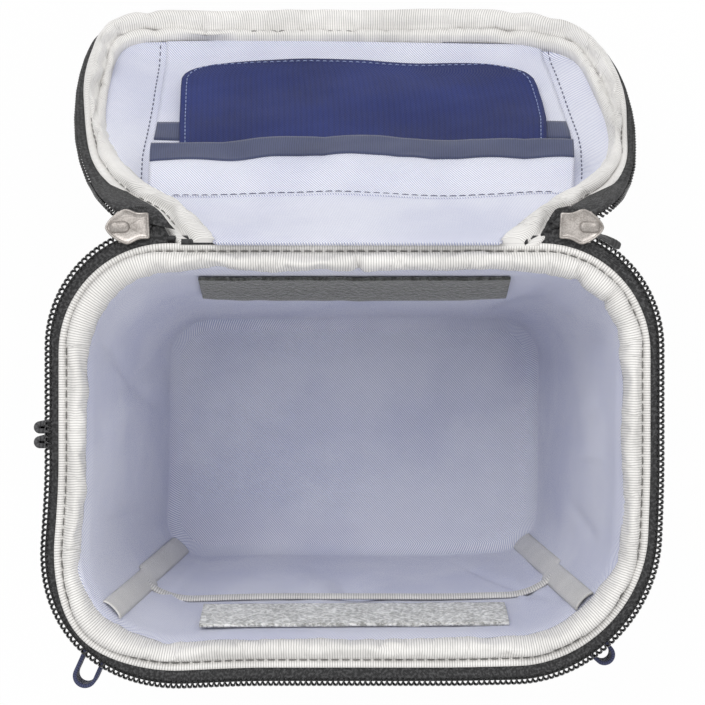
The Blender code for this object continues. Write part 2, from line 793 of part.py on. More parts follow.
def lid_ring(side, far, near, level):
    """A whole lid outline at a level; the point on the hinge's middle isn't doubled."""
    return [lid_place(x, y, level) for x, y in lid_run(side, far, near, 0)[:-1]]


def lid_place(x, out, up):
    """From a place measured out from the hinge to the closed lid's own axes."""
    return (x, -out, up)


def dome(depth):
    """Rings up the lid's domed face, a depth inside its outer surface."""
    rings = []
    for step in range(DOME_STEPS + 1):
        angle = math.radians(90 * step / DOME_STEPS)
        inwards = depth + LID_DOME_SIDE * (1 - math.cos(angle))
        near = LID_SHELL_NEAR + depth * LID_NEAR_LEAN + LID_DOME_NEAR * math.sin(angle)
        rise = (LID_DOME - LID_SHELL_RIM - depth) * math.sin(angle)
        rings.append(lid_ring(inwards, inwards, near, LID_SHELL_RIM + rise))
    return rings


def build_lid(hinge):
    tray_edge = BINDING_WIDTH + CLEARANCE
    tray_near = LID_NEAR + tray_edge
    panel_side = tray_edge + TRAY_SIDE
    panel_far = tray_edge + TRAY_FAR
    low = lid_ring(tray_edge, tray_edge, tray_near, TRAY_RIM)
    low_panel = lid_ring(panel_side, panel_far, PANEL_NEAR, TRAY_DEPTH)
    high = lid_ring(tray_edge, tray_edge, tray_near, TRAY_RIM + LINING)
    high_panel = lid_ring(panel_side, panel_far, PANEL_NEAR, TRAY_DEPTH + LINING)
    piece("lid_lining", *skin([low_panel, low, high, high_panel]), lavender(), hinge)

    shell = list(reversed(dome(0.0))) + dome(SHELL)
    piece("lid_shell", *skin(shell), nylon(), hinge)

    panel_top = TRAY_DEPTH + LINING + CLEARANCE
    over_panel = lid_ring(panel_side, panel_far, PANEL_NEAR, panel_top)
    rim_inside = lid_ring((tray_edge + panel_side) / 2, (tray_edge + panel_far) / 2,
                          (tray_near + PANEL_NEAR) / 2, LID_SHELL_RIM)
    piece("lid_foam", *skin([over_panel, rim_inside] + dome(FOAM_DEPTH)), foam(), hinge)


def build_lid_binding(hinge):
    """The lid's own ribbed roll, open at the hinge, with its round side down."""
    runs = []
    for across, up in BINDING_SECTION_SHARES:
        inwards = BINDING_WIDTH * across
        level = CLEARANCE + LID_BINDING_HEIGHT * (1 - up)
        run = lid_run(inwards, inwards, LID_NEAR + inwards, LID_BINDING_START)
        runs.append([lid_place(x, y, level) for x, y in run])
    rings = [list(ring) for ring in zip(*runs)]
    piece("lid_binding", *skin(rings), grosgrain(), hinge)


def build_lid_zip(hinge):
    """The lid's half of the zip: flat tape with the toothed chain along its edge."""
    seam = lid_run(-CLEARANCE, -CLEARANCE, LID_NEAR - CLEARANCE, LID_ZIP_START)
    near = LID_NEAR - LID_ZIP_NEAR
    edge = lid_run(-LID_ZIP_SIDE, -LID_ZIP_SIDE, near, LID_ZIP_START)
    inside = TOOTH_DEPTH + CLEARANCE
    tape = lid_run(inside - LID_ZIP_SIDE, inside - LID_ZIP_SIDE, near + inside, LID_ZIP_START)
    verts, faces = strip(seam, tape, LID_TAPE_HEIGHT, LID_TAPE_HEIGHT + TAPE)
    piece("lid_zip_tape", [lid_place(*vert) for vert in verts], faces, nylon(), hinge)

    # The chain lies on the tape's upper face, so that it clears the roll beside it
    low = LID_TAPE_HEIGHT + TAPE + CLEARANCE
    run = list(reversed(edge))
    verts, faces = comb(run, low, low + CHAIN_HEIGHT)
    piece("lid_zip_chain", [lid_place(*vert) for vert in verts], faces, zip_plastic(), hinge)


def lid_slab(name, half_widths, places, levels, finish, hinge):
    """A flat piece on the lid's panel, with its own half width at each place."""
    low, high = levels
    left = [(-half, place) for half, place in zip(half_widths, places)]
    right = [(half, place) for half, place in zip(half_widths, places)]
    outline = left + list(reversed(right))
    rings = [[lid_place(x, y, level) for x, y in outline] for level in (low, high)]
    return piece(name, *skin(rings), finish, hinge)


def build_hinge_flap(hinge):
    """A wedge of folded fabric that joins the lid's shell and lining to the hinge."""
    near, far = LID_NEAR, LID_NEAR + BINDING_WIDTH
    section = [(near, FLAP_BOTTOM), (far, FLAP_BOTTOM), (far, FLAP_HIGH), (near, FLAP_LOW)]
    rings = [[lid_place(x, place, level) for place, level in section]
             for x in (-HINGE_HALF_WIDTH, HINGE_HALF_WIDTH)]
    piece("hinge_flap", *skin(rings), nylon(), hinge)


def build_lid_pockets(hinge):
    """Two flat pockets stacked on the panel, each with a ribbed band along its mouth."""
    panel_half = LID_HALF_WIDTH - BINDING_WIDTH - CLEARANCE - TRAY_SIDE

    def half_width(place):
        short = max(LID_WIDEST - place, 0.0) / (LID_WIDEST - PANEL_NEAR)
        round_off = (1 - short ** LID_CORNER_POWER) ** (1 / LID_CORNER_POWER)
        return panel_half * round_off - LID_POCKET_MARGIN

    ribbed = material("blue_grosgrain", (0.09, 0.1, 0.2), 0.8)
    level = TRAY_DEPTH
    for label, far, taken in (
        ("rear", REAR_POCKET_FAR, 0.0),
        ("front", FRONT_POCKET_FAR, PATCH + CLEARANCE),
    ):
        high = level - taken - CLEARANCE
        places = [LID_POCKET_NEAR + (far - LID_POCKET_NEAR) * share
                  for share in LID_POCKET_LEVEL_SHARES]
        halves = [half_width(place) for place in places]
        lid_slab("pocket_" + label, halves, places, (high - PATCH, high), lavender(), hinge)
        band_high = high - PATCH - CLEARANCE
        places = [far - BAND_WIDTH, far]
        halves = [half_width(place) for place in places]
        lid_slab("pocket_band_" + label, halves, places, (band_high - BAND, band_high),
                 ribbed, hinge)


def build_card_flap(hinge):
    """A stiff fabric flap that stands out of the front pocket and folds on its lower edge."""
    high = TRAY_DEPTH - CLEARANCE * 3 - PATCH - BAND
    axis = empty("card_flap_axis", lid_place(0.0, CARD_FLAP_AXIS, high - CARD_FLAP / 2), None, hinge)
    half = CARD_FLAP_HALF_WIDTH
    reach = CARD_FLAP_FAR - CARD_FLAP_AXIS
    corner = CARD_FLAP_CORNER
    outline = [(half, 0.0)] + arc(half - corner, reach - corner, corner, 0, 90, 4)
    outline += [(-x, y) for x, y in reversed(outline)]
    rings = [[lid_place(x, y, level) for x, y in outline]
             for level in (-CARD_FLAP / 2, CARD_FLAP / 2)]
    piece("card_flap", *skin(rings), material("navy_weave", (0.025, 0.04, 0.18), 0.8), axis)


def main():
    clear_scene()
    build_body()
    build_rim_binding()
    build_body_zip()
    for side, sign in (("left", -1), ("right", 1)):
        build_slider(side, sign)
    build_strips()
    build_corner_bindings()
    build_corner_loops()
    build_side_tab()
    build_front_pocket()
    build_belt_loop()
    build_hinge_seam()

    turn = Matrix.Rotation(math.radians(-LID_OPEN_ANGLE), 4, "X")
    hinge = empty("lid_hinge", (0.0, HINGE_Y, BODY_HEIGHT), turn)
    build_lid(hinge)
    build_lid_binding(hinge)
    build_lid_zip(hinge)
    build_hinge_flap(hinge)
    build_lid_pockets(hinge)
    build_card_flap(hinge)


main()
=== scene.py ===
# Top-loading camera bag, seen from above with its lid folded back over the rear wall.
import json
import math

import bpy
import numpy as np
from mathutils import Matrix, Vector

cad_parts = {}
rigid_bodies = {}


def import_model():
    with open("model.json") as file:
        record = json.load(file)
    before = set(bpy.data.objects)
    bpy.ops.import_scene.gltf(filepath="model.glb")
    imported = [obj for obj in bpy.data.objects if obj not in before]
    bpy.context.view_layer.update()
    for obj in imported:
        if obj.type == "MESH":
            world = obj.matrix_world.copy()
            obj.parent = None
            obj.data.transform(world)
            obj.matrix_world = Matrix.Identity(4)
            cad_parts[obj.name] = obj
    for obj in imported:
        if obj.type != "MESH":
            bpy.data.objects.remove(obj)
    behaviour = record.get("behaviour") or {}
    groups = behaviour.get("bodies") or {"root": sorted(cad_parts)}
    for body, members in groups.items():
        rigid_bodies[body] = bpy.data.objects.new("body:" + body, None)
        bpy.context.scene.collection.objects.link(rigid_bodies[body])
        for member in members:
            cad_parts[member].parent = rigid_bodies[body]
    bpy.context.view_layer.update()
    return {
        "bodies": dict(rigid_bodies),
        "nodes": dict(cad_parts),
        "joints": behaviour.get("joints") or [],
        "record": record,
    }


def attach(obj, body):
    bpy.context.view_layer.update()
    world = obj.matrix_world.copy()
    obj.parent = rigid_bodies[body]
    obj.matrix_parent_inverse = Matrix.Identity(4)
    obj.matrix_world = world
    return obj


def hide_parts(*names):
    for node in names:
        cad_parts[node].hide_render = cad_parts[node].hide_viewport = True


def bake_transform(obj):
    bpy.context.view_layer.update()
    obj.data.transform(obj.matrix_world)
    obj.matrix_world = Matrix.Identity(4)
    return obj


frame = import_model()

MM = 0.001

# Camera: straight above the rim, a short telephoto lens at arm's length.
# The floor is white paper on a table; it keeps a faint soft shadow of the bag.
LENS_HEIGHT = 950 * MM
LENS_REARWARD = 37.3 * MM
LENS_LEFTWARD = 0.66 * MM
LENS_FOCAL = 124.3
PAPER_HALF_WIDTH = 3.0
PAPER_WHITE_SHARE = 0.97
PAPER_GREY = (0.86, 0.86, 0.86)
SKY_LEVEL = 0.72
SOFTBOX_SIZE = 1.5
SOFTBOX_POWER = 17.0
SOFTBOX_PLACE = (-0.35, 0.95, 1.75)
FILL_SIZE = 1.2
FILL_POWER = 5.5
FILL_PLACE = (0.9, -0.9, 1.3)

camera = bpy.data.objects.new("photo_camera", bpy.data.cameras.new("photo_camera"))
camera.location = (-LENS_LEFTWARD, LENS_REARWARD, LENS_HEIGHT)
camera.data.lens = LENS_FOCAL
camera.data.sensor_width = 36
camera.data.clip_start = 0.01
bpy.context.scene.collection.objects.link(camera)
bpy.context.scene.camera = camera
bpy.context.scene.view_settings.view_transform = "Standard"


def softbox(name, place, size, power):
    """A square area lamp at place, turned so that it shines at the middle of the bag."""
    lamp = bpy.data.lights.new(name, "AREA")
    lamp.size = size
    lamp.energy = power
    thing = bpy.data.objects.new(name, lamp)
    thing.location = place
    thing.rotation_euler = (-Vector(place)).to_track_quat("-Z", "Y").to_euler()
    bpy.context.scene.collection.objects.link(thing)


softbox("softbox_rear", SOFTBOX_PLACE, SOFTBOX_SIZE, SOFTBOX_POWER)
softbox("softbox_front", FILL_PLACE, FILL_SIZE, FILL_POWER)


class Value:
    """One socket of a material. An expression on values adds the Math nodes that work it out."""

    def __init__(self, finish, socket):
        self.finish = finish
        self.socket = socket

    def math(self, operation, *others):
        return self.finish.math(operation, self, *others)

    def __add__(self, other):
        return self.math("ADD", other)

    def __sub__(self, other):
        return self.math("SUBTRACT", other)

    def __rsub__(self, other):
        return self.finish.math("SUBTRACT", other, self)

    def __mul__(self, other):
        return self.math("MULTIPLY", other)

    def __truediv__(self, other):
        return self.math("DIVIDE", other)

    def __mod__(self, other):
        return self.math("FLOORED_MODULO", other)

    def __lt__(self, other):
        return self.math("LESS_THAN", other)

    def __gt__(self, other):
        return self.math("GREATER_THAN", other)

    def __pow__(self, other):
        return self.math("POWER", other)

    __radd__ = __add__
    __rmul__ = __mul__

    def sine(self):
        return self.math("SINE")

    def floor(self):
        return self.math("FLOOR")

    def size(self):
        return self.math("ABSOLUTE")

    def between(self, low, high):
        """0 below low, 1 above high, and a soft step between."""
        return self.finish.node(
            "ShaderNodeMapRange",
            {"interpolation_type": "SMOOTHSTEP"},
            {"Value": self, "From Min": low, "From Max": high},
        )


class Finish:
    """One material of the bag: a Principled shader, whose constants are set on its own sockets."""

    def __init__(self, name, roughness, **constants):
        self.material = bpy.data.materials.new(name)
        self.material.use_nodes = True
        self.tree = self.material.node_tree
        self.shader = self.tree.nodes["Principled BSDF"]
        self.put(self.shader, "Roughness", roughness)
        for socket, value in constants.items():
            self.put(self.shader, socket.replace("_", " "), value)

    def put(self, node, socket, value):
        if isinstance(value, Value):
            self.tree.links.new(value.socket, node.inputs[socket])
        elif isinstance(value, tuple) and len(value) == 3 and node.inputs[socket].type == "RGBA":
            node.inputs[socket].default_value = (*value, 1.0)
        else:
            node.inputs[socket].default_value = value

    def node(self, kind, settings=None, inputs=None, out=0):
        """Adds a node, sets its settings and then its sockets, and gives one of its outputs."""
        made = self.tree.nodes.new(kind)
        for setting, value in (settings or {}).items():
            setattr(made, setting, value)
        for socket, value in (inputs or {}).items():
            self.put(made, socket, value)
        return Value(self, made.outputs[out])

    def math(self, operation, *terms):
        return self.node("ShaderNodeMath", {"operation": operation}, dict(enumerate(terms)))

    def place(self):
        """Object coordinates, in metres."""
        return self.node("ShaderNodeTexCoord", out="Object")

    def beside(self, value, output):
        """Another output of the node that a value comes from."""
        return Value(self, value.socket.node.outputs[output])

    def split(self, place):
        """The first two parts of a vector."""
        first = self.node("ShaderNodeSeparateXYZ", None, {0: place})
        return first, self.beside(first, 1)

    def cloth(self):
        """The cloth's own two lengths, in millimetres, from the piece's UV map."""
        return self.split(self.node("ShaderNodeUVMap", {"uv_map": "cloth"}))

    def noise(self, scale, detail):
        return self.node("ShaderNodeTexNoise", None, {"Vector": self.place(), "Scale": scale, "Detail": detail})

    def blend(self, share, first, second):
        return self.node(
            "ShaderNodeMix",
            {"data_type": "RGBA"},
            {"Factor": share, 6: first, 7: second},
            out=2,
        )

    def colour(self, value):
        self.put(self.shader, "Base Color", value)

    def roughness(self, value):
        self.put(self.shader, "Roughness", value)

    def relief(self, height, depth):
        """Bump: height runs from 0 to 1 and stands for depth in metres."""
        bump = self.node("ShaderNodeBump", None, {"Height": height, "Distance": depth, "Strength": 1.0})
        self.put(self.shader, "Normal", bump)


def linear(red, green, blue):
    """A colour in sRGB steps of 255, as the shader's linear shares."""
    share = np.array([red, green, blue]) / 255
    light = np.where(share <= 0.04045, share / 12.92, ((share + 0.055) / 1.055) ** 2.4)
    return tuple(float(part) for part in light)


paper = Finish("white_paper", 0.9)
paper_ray = paper.node("ShaderNodeLightPath")
paper_seen = paper_ray
for ray in ("Is Glossy Ray", "Is Transmission Ray"):
    paper_seen = paper.math("MAXIMUM", paper_seen, paper.beside(paper_ray, ray))
paper.colour(PAPER_GREY)
paper_glow = paper.node("ShaderNodeEmission", None, {"Color": (1.0, 1.0, 1.0), "Strength": 1.0})
paper_mix = paper.node(
    "ShaderNodeMixShader",
    None,
    {0: paper_seen * PAPER_WHITE_SHARE, 1: Value(paper, paper.shader.outputs[0]), 2: paper_glow},
)
paper.put(paper.tree.nodes["Material Output"], "Surface", paper_mix)

world = bpy.data.worlds.new("studio")
bpy.context.scene.world = world
world.use_nodes = True
sky = world.node_tree
sky_sees = sky.nodes.new("ShaderNodeLightPath")
sky_level = sky.nodes.new("ShaderNodeMapRange")
sky.links.new(sky_sees.outputs["Is Camera Ray"], sky_level.inputs["Value"])
sky_level.inputs["To Min"].default_value = SKY_LEVEL
sky_level.inputs["To Max"].default_value = 1.0
sky.links.new(sky_level.outputs[0], sky.nodes["Background"].inputs["Strength"])
sky.nodes["Background"].inputs["Color"].default_value = (1.0, 1.0, 1.0, 1.0)

paper_mesh = bpy.data.meshes.new("paper")
paper_edge = PAPER_HALF_WIDTH * np.array([(-1, -1, 0), (1, -1, 0), (1, 1, 0), (-1, 1, 0)])
paper_mesh.from_pydata(paper_edge.tolist(), [], [(0, 1, 2, 3)])
paper_mesh.materials.append(paper.material)
paper_floor = bpy.data.objects.new("paper_floor", paper_mesh)
bpy.context.scene.collection.objects.link(paper_floor)

# Outer shell: black woven nylon, cut as four panels and a floor, sewn with the seams inside.
# It flares from the base to the rim, sags a little between its corners, and its top edge
# turns outwards under the zip tape that is sewn to it.
FLOOR = 2.3 * MM
WALL_TOP = 143.2 * MM
WALL_FLARE = 1.5
BASE_OUTLINE = np.array([80, 50, 60, 26, 26]) * MM
RIM_OUTLINE = np.array([97.5, 66.5, 73.3, 43, 36]) * MM
EDGE_RADIUS = 14 * MM
SHELL = 1.2 * MM
ROUND_THE_BODY = 360
CORNER_POINTS = 24
SHELL_SAG = 1.6 * MM
TOP_TURN = 2.6 * MM
TOP_TURN_DEPTH = 4 * MM
TOP_TURN_HEIGHT = 8 * MM
WEAVE_DEPTH = 0.16 * MM
SIDES = (("left", -1), ("right", 1))
CORNER_LEAN = 4.0 * MM
LEAN_CORNERS = np.array([(88, -58), (-90, -60)]) * MM
LEAN_SHARES = (-0.5, 0.95)
LEAN_REACH = 62 * MM
NYLON_BLACK = linear(16, 16, 17)
NYLON_GREY = linear(70, 70, 72)
NYLON_PITCH = 0.62


def rounded(outline, inset, count=ROUND_THE_BODY):
    """A rounded rectangle: four straight sides joined by quarter circles, as evenly spaced
    points, anticlockwise from above, from the middle of the rear side."""
    half, front, rear, front_radius, rear_radius = np.asarray(outline) - inset
    turn = np.linspace(0, np.pi / 2, CORNER_POINTS)
    corners = (
        (rear_radius - half, rear - rear_radius, rear_radius, np.pi / 2),
        (front_radius - half, front_radius - front, front_radius, np.pi),
        (half - front_radius, front_radius - front, front_radius, np.pi * 1.5),
        (half - rear_radius, rear - rear_radius, rear_radius, 0.0),
    )
    run = [np.array([[0.0, rear]])]
    for x, y, radius, start in corners:
        run.append(np.stack([x + radius * np.cos(start + turn), y + radius * np.sin(start + turn)], -1))
    run = np.concatenate([*run, run[0]])
    return evenly(run, count)[:-1] if count else run


def running_length(run):
    return np.concatenate([[0.0], np.cumsum(np.linalg.norm(np.diff(run, axis=0), axis=1))])


def read_at(steps, length, line):
    """What a line's points hold at given running lengths."""
    return np.stack([np.interp(steps, length, line[:, axis]) for axis in range(line.shape[1])], -1)


def evenly(run, count):
    """A polyline walked in equal steps: its running length is cut into count parts."""
    length = running_length(run)
    return read_at(np.linspace(0.0, length[-1], count + 1), length, run)


def at_level(plan, level):
    """Places in plan, all taken to one level."""
    return np.c_[plan, np.full(len(plan), level)]


def circle(turn):
    return np.c_[np.cos(turn), np.sin(turn)]


def unit(directions):
    return directions / np.linalg.norm(directions, axis=-1, keepdims=True)


def bell(off):
    return np.exp(-(off ** 2))


def soft_step(value):
    """0 up to 0, 1 from 1 on, and a smooth step between."""
    value = np.clip(value, 0, 1)
    return value * value * (3 - 2 * value)


def waves(count, seed, low, high):
    """A closed wandering line between about -1 and 1: sines whose strength falls with their number."""
    chance = np.random.default_rng(seed)
    turn = np.linspace(0, 2 * np.pi, count, endpoint=False)
    number = np.arange(low, high)
    strength = chance.uniform(0.4, 1.0, len(number)) / number ** 0.5
    start = chance.uniform(0, 2 * np.pi, len(number))
    line = (strength[:, None] * np.sin(number[:, None] * turn + start[:, None])).sum(0)
    return line / np.abs(line).max()


def corner_lean(points):
    """The bag's own unevenness: the right front corner gives inwards and the left one outwards,
    by a soft share that is full at the corner and nothing at the end of its reach."""
    points = np.array(points, float)
    for (x, y), push in zip(LEAN_CORNERS, LEAN_SHARES):
        far = np.hypot(points[..., 0] - x, points[..., 1] - y) / LEAN_REACH
        share = CORNER_LEAN * push * np.clip(1 - far ** 2, 0, 1) ** 2
        away = np.array([x, y]) / np.hypot(x, y)
        points[..., :2] += share[..., None] * away
    return points


def outward(ring):
    """Unit directions that point out of a closed anticlockwise ring."""
    along = np.roll(ring, -1, axis=0) - np.roll(ring, 1, axis=0)
    return unit(np.stack([along[:, 1], -along[:, 0]], -1))


def flare(level):
    """How far a wall's outline has gone from the base's to the rim's at a level."""
    return np.clip((level - FLOOR) / (WALL_TOP - FLOOR), 0, 1.05) ** WALL_FLARE


def wall_ring(level, depth=0.0):
    """The body's outline at a level: the base's outline blended to the rim's by the flare."""
    return rounded(BASE_OUTLINE + (RIM_OUTLINE - BASE_OUTLINE) * flare(level), depth)


def surface(
    name, points, finish, body,
    around=False, along=False, ends=False, turned=False, long_rows=False, chart=None,
):
    """A grid of points as quads, with a UV map of its own two lengths in millimetres.
    around joins the last column to the first, along the last row to the first, and ends
    closes the first and last rows with a face, or the last alone. A closed form is turned to
    face outwards. long_rows swaps the two lengths of the UV map, for a piece whose rows run
    along it. A chart gives the map for the first rows itself, as flat places on the cloth."""
    rows, columns = points.shape[:2]
    row, column = np.meshgrid(
        np.arange(rows if along else rows - 1), np.arange(columns if around else columns - 1), indexing="ij"
    )
    row, column = row.ravel(), column.ravel()
    corner_rows = np.stack([row, row, row + 1, row + 1], -1)
    corner_columns = np.stack([column, column + 1, column + 1, column], -1)
    quads = (corner_rows % rows) * columns + corner_columns % columns

    wide = np.concatenate([points, points[:, :1]], 1) if around else points
    tall = np.concatenate([points, points[:1]], 0) if along else points
    u = np.concatenate([[0], np.cumsum(np.linalg.norm(np.diff(wide, axis=1), axis=2).mean(0))]) / MM
    v = np.concatenate([[0], np.cumsum(np.linalg.norm(np.diff(tall, axis=0), axis=2).mean(1))]) / MM
    texture = np.stack([u[corner_columns], v[corner_rows]], -1)
    if chart is not None:
        charted = corner_rows.max(-1) < len(chart)
        texture[charted] = chart[corner_rows[charted], corner_columns[charted] % columns] / MM
    texture = texture.reshape(-1, 2)

    flat = points.reshape(-1, 3)
    faces = quads.tolist()
    if ends:
        first = np.arange(columns)
        faces += [first[::-1].tolist(), (first + (rows - 1) * columns).tolist()]
        caps = np.zeros((2 * columns, 2))
        if chart is not None:
            caps[:columns] = chart[0, ::-1] / MM
        if chart is not None and len(chart) == rows:
            caps[columns:] = chart[-1] / MM
        if ends == "last":
            faces.pop(-2)
            caps = caps[columns:]
        texture = np.concatenate([texture, caps])
    if ends is True or (around and along):
        a, b, c, d = (flat[quads[:, corner]] for corner in range(4))
        volume = sum(np.einsum("ij,ij->i", a, np.cross(*pair)).sum() for pair in ((b, c), (c, d)))
        if ends:
            for face in faces[-2:]:
                ring = flat[face]
                fan = np.cross(ring[1:-1], ring[2:])
                volume += (fan @ ring[0]).sum()
        turned = volume < 0
    if long_rows:
        texture = texture[:, ::-1]
    mesh = bpy.data.meshes.new(name)
    mesh.from_pydata(flat.tolist(), [], faces)
    layer = mesh.uv_layers.new(name="cloth")
    layer.data.foreach_set("uv", texture.astype(np.float32).ravel())
    if turned:
        mesh.flip_normals()
    return put_in(name, mesh, finish, body)


def put_in(name, mesh, finish, body):
    mesh.shade_smooth()
    mesh.materials.append(finish.material)
    thing = bpy.data.objects.new(name, mesh)
    bpy.context.scene.collection.objects.link(thing)
    if body:
        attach(thing, body)
    return thing


def thicken(thing, thickness, offset=-1.0):
    """Gives an open sheet its thickness, inwards from the face that shows."""
    step = thing.modifiers.new("thickness", "SOLIDIFY")
    step.thickness = thickness
    step.offset = offset
    step.use_even_offset = False
    return thing


def plain_weave(across, along, pitch):
    """Height of a plain weave: threads go over and under in turn, as a chequer of half sines."""
    u, v = across / pitch, along / pitch
    over = (u.floor() + v.floor()) % 2.0
    warp = (u * math.pi).sine().size()
    weft = (v * math.pi).sine().size()
    return over * warp + (1 - over) * weft


def black_nylon(name):
    """Woven black nylon: each crossing of threads has its own share of grey."""
    finish = Finish(name, 0.62, Sheen_Weight=0.05, Specular_IOR_Level=0.35)
    across, along = finish.cloth()
    weave = plain_weave(across, along, NYLON_PITCH)
    fleck = finish.noise(900.0, 1.0).between(0.35, 0.7)
    worn = finish.noise(28.0, 3.0).between(0.35, 0.75)
    finish.colour(finish.blend(weave * 0.45 + fleck * 0.45 + worn * 0.12, NYLON_BLACK, NYLON_GREY))
    finish.roughness(0.72 - weave * 0.2)
    finish.relief(weave * 0.8 + fleck * 0.2, WEAVE_DEPTH)
    return finish


nylon = black_nylon("black_nylon_cloth")

edge_turn = np.linspace(0, np.pi / 2, 9)[:-1]
shell_rings = []
for angle in edge_turn:
    level = FLOOR + EDGE_RADIUS * (1 - math.cos(angle))
    shell_rings.append(at_level(wall_ring(level, EDGE_RADIUS * (1 - math.sin(angle))), level))
shell_levels = np.linspace(FLOOR + EDGE_RADIUS, WALL_TOP - TOP_TURN_DEPTH, 34)
sag_rows = np.stack([waves(ROUND_THE_BODY, seed, 3, 11) for seed in (1, 2, 3)])
for level in shell_levels:
    ring = wall_ring(level)
    rise = (level - shell_levels[0]) / (shell_levels[-1] - shell_levels[0])
    middle = np.sin(np.pi * rise)
    sag = (sag_rows[0] * (1 - rise) + sag_rows[1] * rise) * middle - 0.35 * middle
    flat_wall = 1 - np.abs(np.gradient(np.unwrap(np.arctan2(*outward(ring).T)))) / 0.06
    ring = ring + outward(ring) * (SHELL_SAG * sag * np.clip(flat_wall, 0.2, 1))[:, None]
    shell_rings.append(at_level(ring, level))
for share in np.linspace(0, 1, 5)[1:]:
    level = WALL_TOP - TOP_TURN_DEPTH + TOP_TURN_HEIGHT * share
    ring = wall_ring(min(level, WALL_TOP))
    shell_rings.append(at_level(ring + outward(ring) * TOP_TURN * share ** 2, level))
shell_grid = corner_lean(np.stack(shell_rings))
shell_grid = np.concatenate([shell_grid[:1] * [0.02, 0.02, 1.0], shell_grid])
outer_shell = surface("nylon_shell", shell_grid, nylon, "bag", around=True)
thicken(outer_shell, SHELL)
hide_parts("outer_shell")

# Base panel: a stiff board covered in the same nylon, glued under the shell's floor.
base_panel = frame["nodes"]["base_panel"]
panel_cloth = Finish("base_panel_nylon", 0.7, Sheen_Weight=0.2)
panel_across, panel_along = panel_cloth.split(panel_cloth.place())
panel_weave = plain_weave(panel_across * 1000.0, panel_along * 1000.0, NYLON_PITCH)
panel_scuff = panel_cloth.noise(60.0, 5.0).between(0.5, 0.72)
panel_cloth.colour(panel_cloth.blend(panel_weave * 0.4 + panel_scuff * 0.35, NYLON_BLACK, NYLON_GREY))
panel_cloth.relief(panel_weave, WEAVE_DEPTH)
base_panel.data.materials.clear()
base_panel.data.materials.append(panel_cloth.material)

# Padded lining: lavender twill quilted to foam in the walls and the floor, made as one cup.
# It is looser than the shell, so it creases at the corners and hangs in soft folds.
LINING_DEPTH = 9.8 * MM
FOAM_OUTSIDE = 1.5 * MM
LINING_TOP = 146.5 * MM
FLOOR_INSIDE = 12.1 * MM
LINING_ROWS = 56
LINING_FOLD = 2.1 * MM
LINING_PUFF = 1.2 * MM
FLOOR_CROWN = 1.5 * MM
FLOOR_SWELL = 0.5 * MM
FOAM_LIP = 2 * MM
STRIP_CALM = 58 * MM
STRIP_CALM_FROM = 96 * MM
LAVENDER = linear(244, 245, 252)
# The darker lavender is painted shade, for the twill's valleys and soft shaded patches; the lining is the pale
# lavender.
LAVENDER_VALLEY_SHADE = linear(142, 150, 198)
TWILL_PITCH = 0.9
LINING_TUCK = 2.2 * MM
TUCK_REACH = 6 * MM
REAR_BULGE = 3.0 * MM
BULGE_LEVEL = 112 * MM
BULGE_REACH = 16 * MM
BULGE_HALF = 72 * MM


def twill(across, along, pitch):
    """Height of a twill: diagonal ribs, each a half sine of the sum of the two lengths."""
    rib = ((across + along * 0.9) / pitch * math.pi).sine().size()
    thread = ((across - along * 0.5) / pitch * (math.pi * 1.4)).sine().size()
    return rib * 0.8 + thread * 0.2


def lavender_twill(name):
    finish = Finish(name, 0.55, Sheen_Weight=0.15, Sheen_Roughness=0.4)
    across, along = finish.cloth()
    ribs = twill(across, along, TWILL_PITCH).between(0.15, 0.9)
    shade = finish.noise(22.0, 4.0).between(0.3, 0.7)
    # Colour: the twill's valleys and the low parts of the noise named shade are painted in the darker lavender as
    # shade.
    finish.colour(finish.blend(ribs * 0.85 + shade * 0.2, LAVENDER_VALLEY_SHADE, LAVENDER))
    finish.roughness(0.62 - ribs * 0.14)
    finish.relief(ribs, WEAVE_DEPTH)
    return finish


def soft_folds(columns, rows, seed, number, reach):
    """Folds in a cloth: a sum of narrow ridges, each a bell across a slanted line, that fade
    along it; positive stands out of the cloth."""
    chance = np.random.default_rng(seed)
    u, v = np.meshgrid(np.linspace(0, 1, columns, endpoint=False), np.linspace(0, 1, rows))
    total = np.zeros_like(u)
    ranges = ((0, 1), (-0.09, 0.09), (0.004, 0.016), (0.35, 0.95), (0.15, 0.5), (-1, 1))
    for place, slant, width, middle, length, rise in zip(*(chance.uniform(*ends, number) for ends in ranges)):
        off = (u - place - slant * (v - middle) + 0.5) % 1.0 - 0.5
        total += rise * bell(off / width) * bell((v - middle) / length)
    return total * reach


def rear_bulge(x, level):
    """How far the rear wall's padding stands in: a bell over its level, flat across its middle."""
    return REAR_BULGE * bell((level - BULGE_LEVEL) / BULGE_REACH) * np.exp(-((x / BULGE_HALF) ** 4))


lavender = lavender_twill("lavender_twill")
folds = soft_folds(ROUND_THE_BODY, LINING_ROWS, 7, 46, LINING_FOLD)
swell = np.stack([waves(ROUND_THE_BODY, seed, 2, 9) for seed in (21, 22)])
lining_rings = []
for row, level in enumerate(FLOOR_INSIDE + (LINING_TOP - FLOOR_INSIDE) * np.linspace(0, 1, LINING_ROWS)):
    rise = row / (LINING_ROWS - 1)
    low = EDGE_RADIUS - LINING_DEPTH
    under = max(0.0, low - (level - FLOOR_INSIDE))
    edge_in = low - math.sqrt(max(low ** 2 - under ** 2, 0.0))
    ring = wall_ring(min(level, WALL_TOP), LINING_DEPTH + edge_in)
    loose = math.sin(math.pi * min(rise * 1.15, 1.0)) ** 0.6
    puff = (swell[0] * (1 - rise) + swell[1] * rise) * LINING_PUFF * loose
    under_strip = (np.abs(ring[:, 0]) < STRIP_CALM) & (level > STRIP_CALM_FROM)
    slack = (puff + folds[row] * loose) * np.where(under_strip, 0.15, 1.0)
    slack = slack + rear_bulge(ring[:, 0], level) * (ring[:, 1] > 0)
    slack = slack - LINING_TUCK * np.clip((level - LINING_TOP + TUCK_REACH) / TUCK_REACH, 0, 1)
    ring = ring - outward(ring) * slack[:, None]
    lining_rings.append(at_level(ring, level))
lining_wall = corner_lean(np.stack(lining_rings))
floor_rings = []
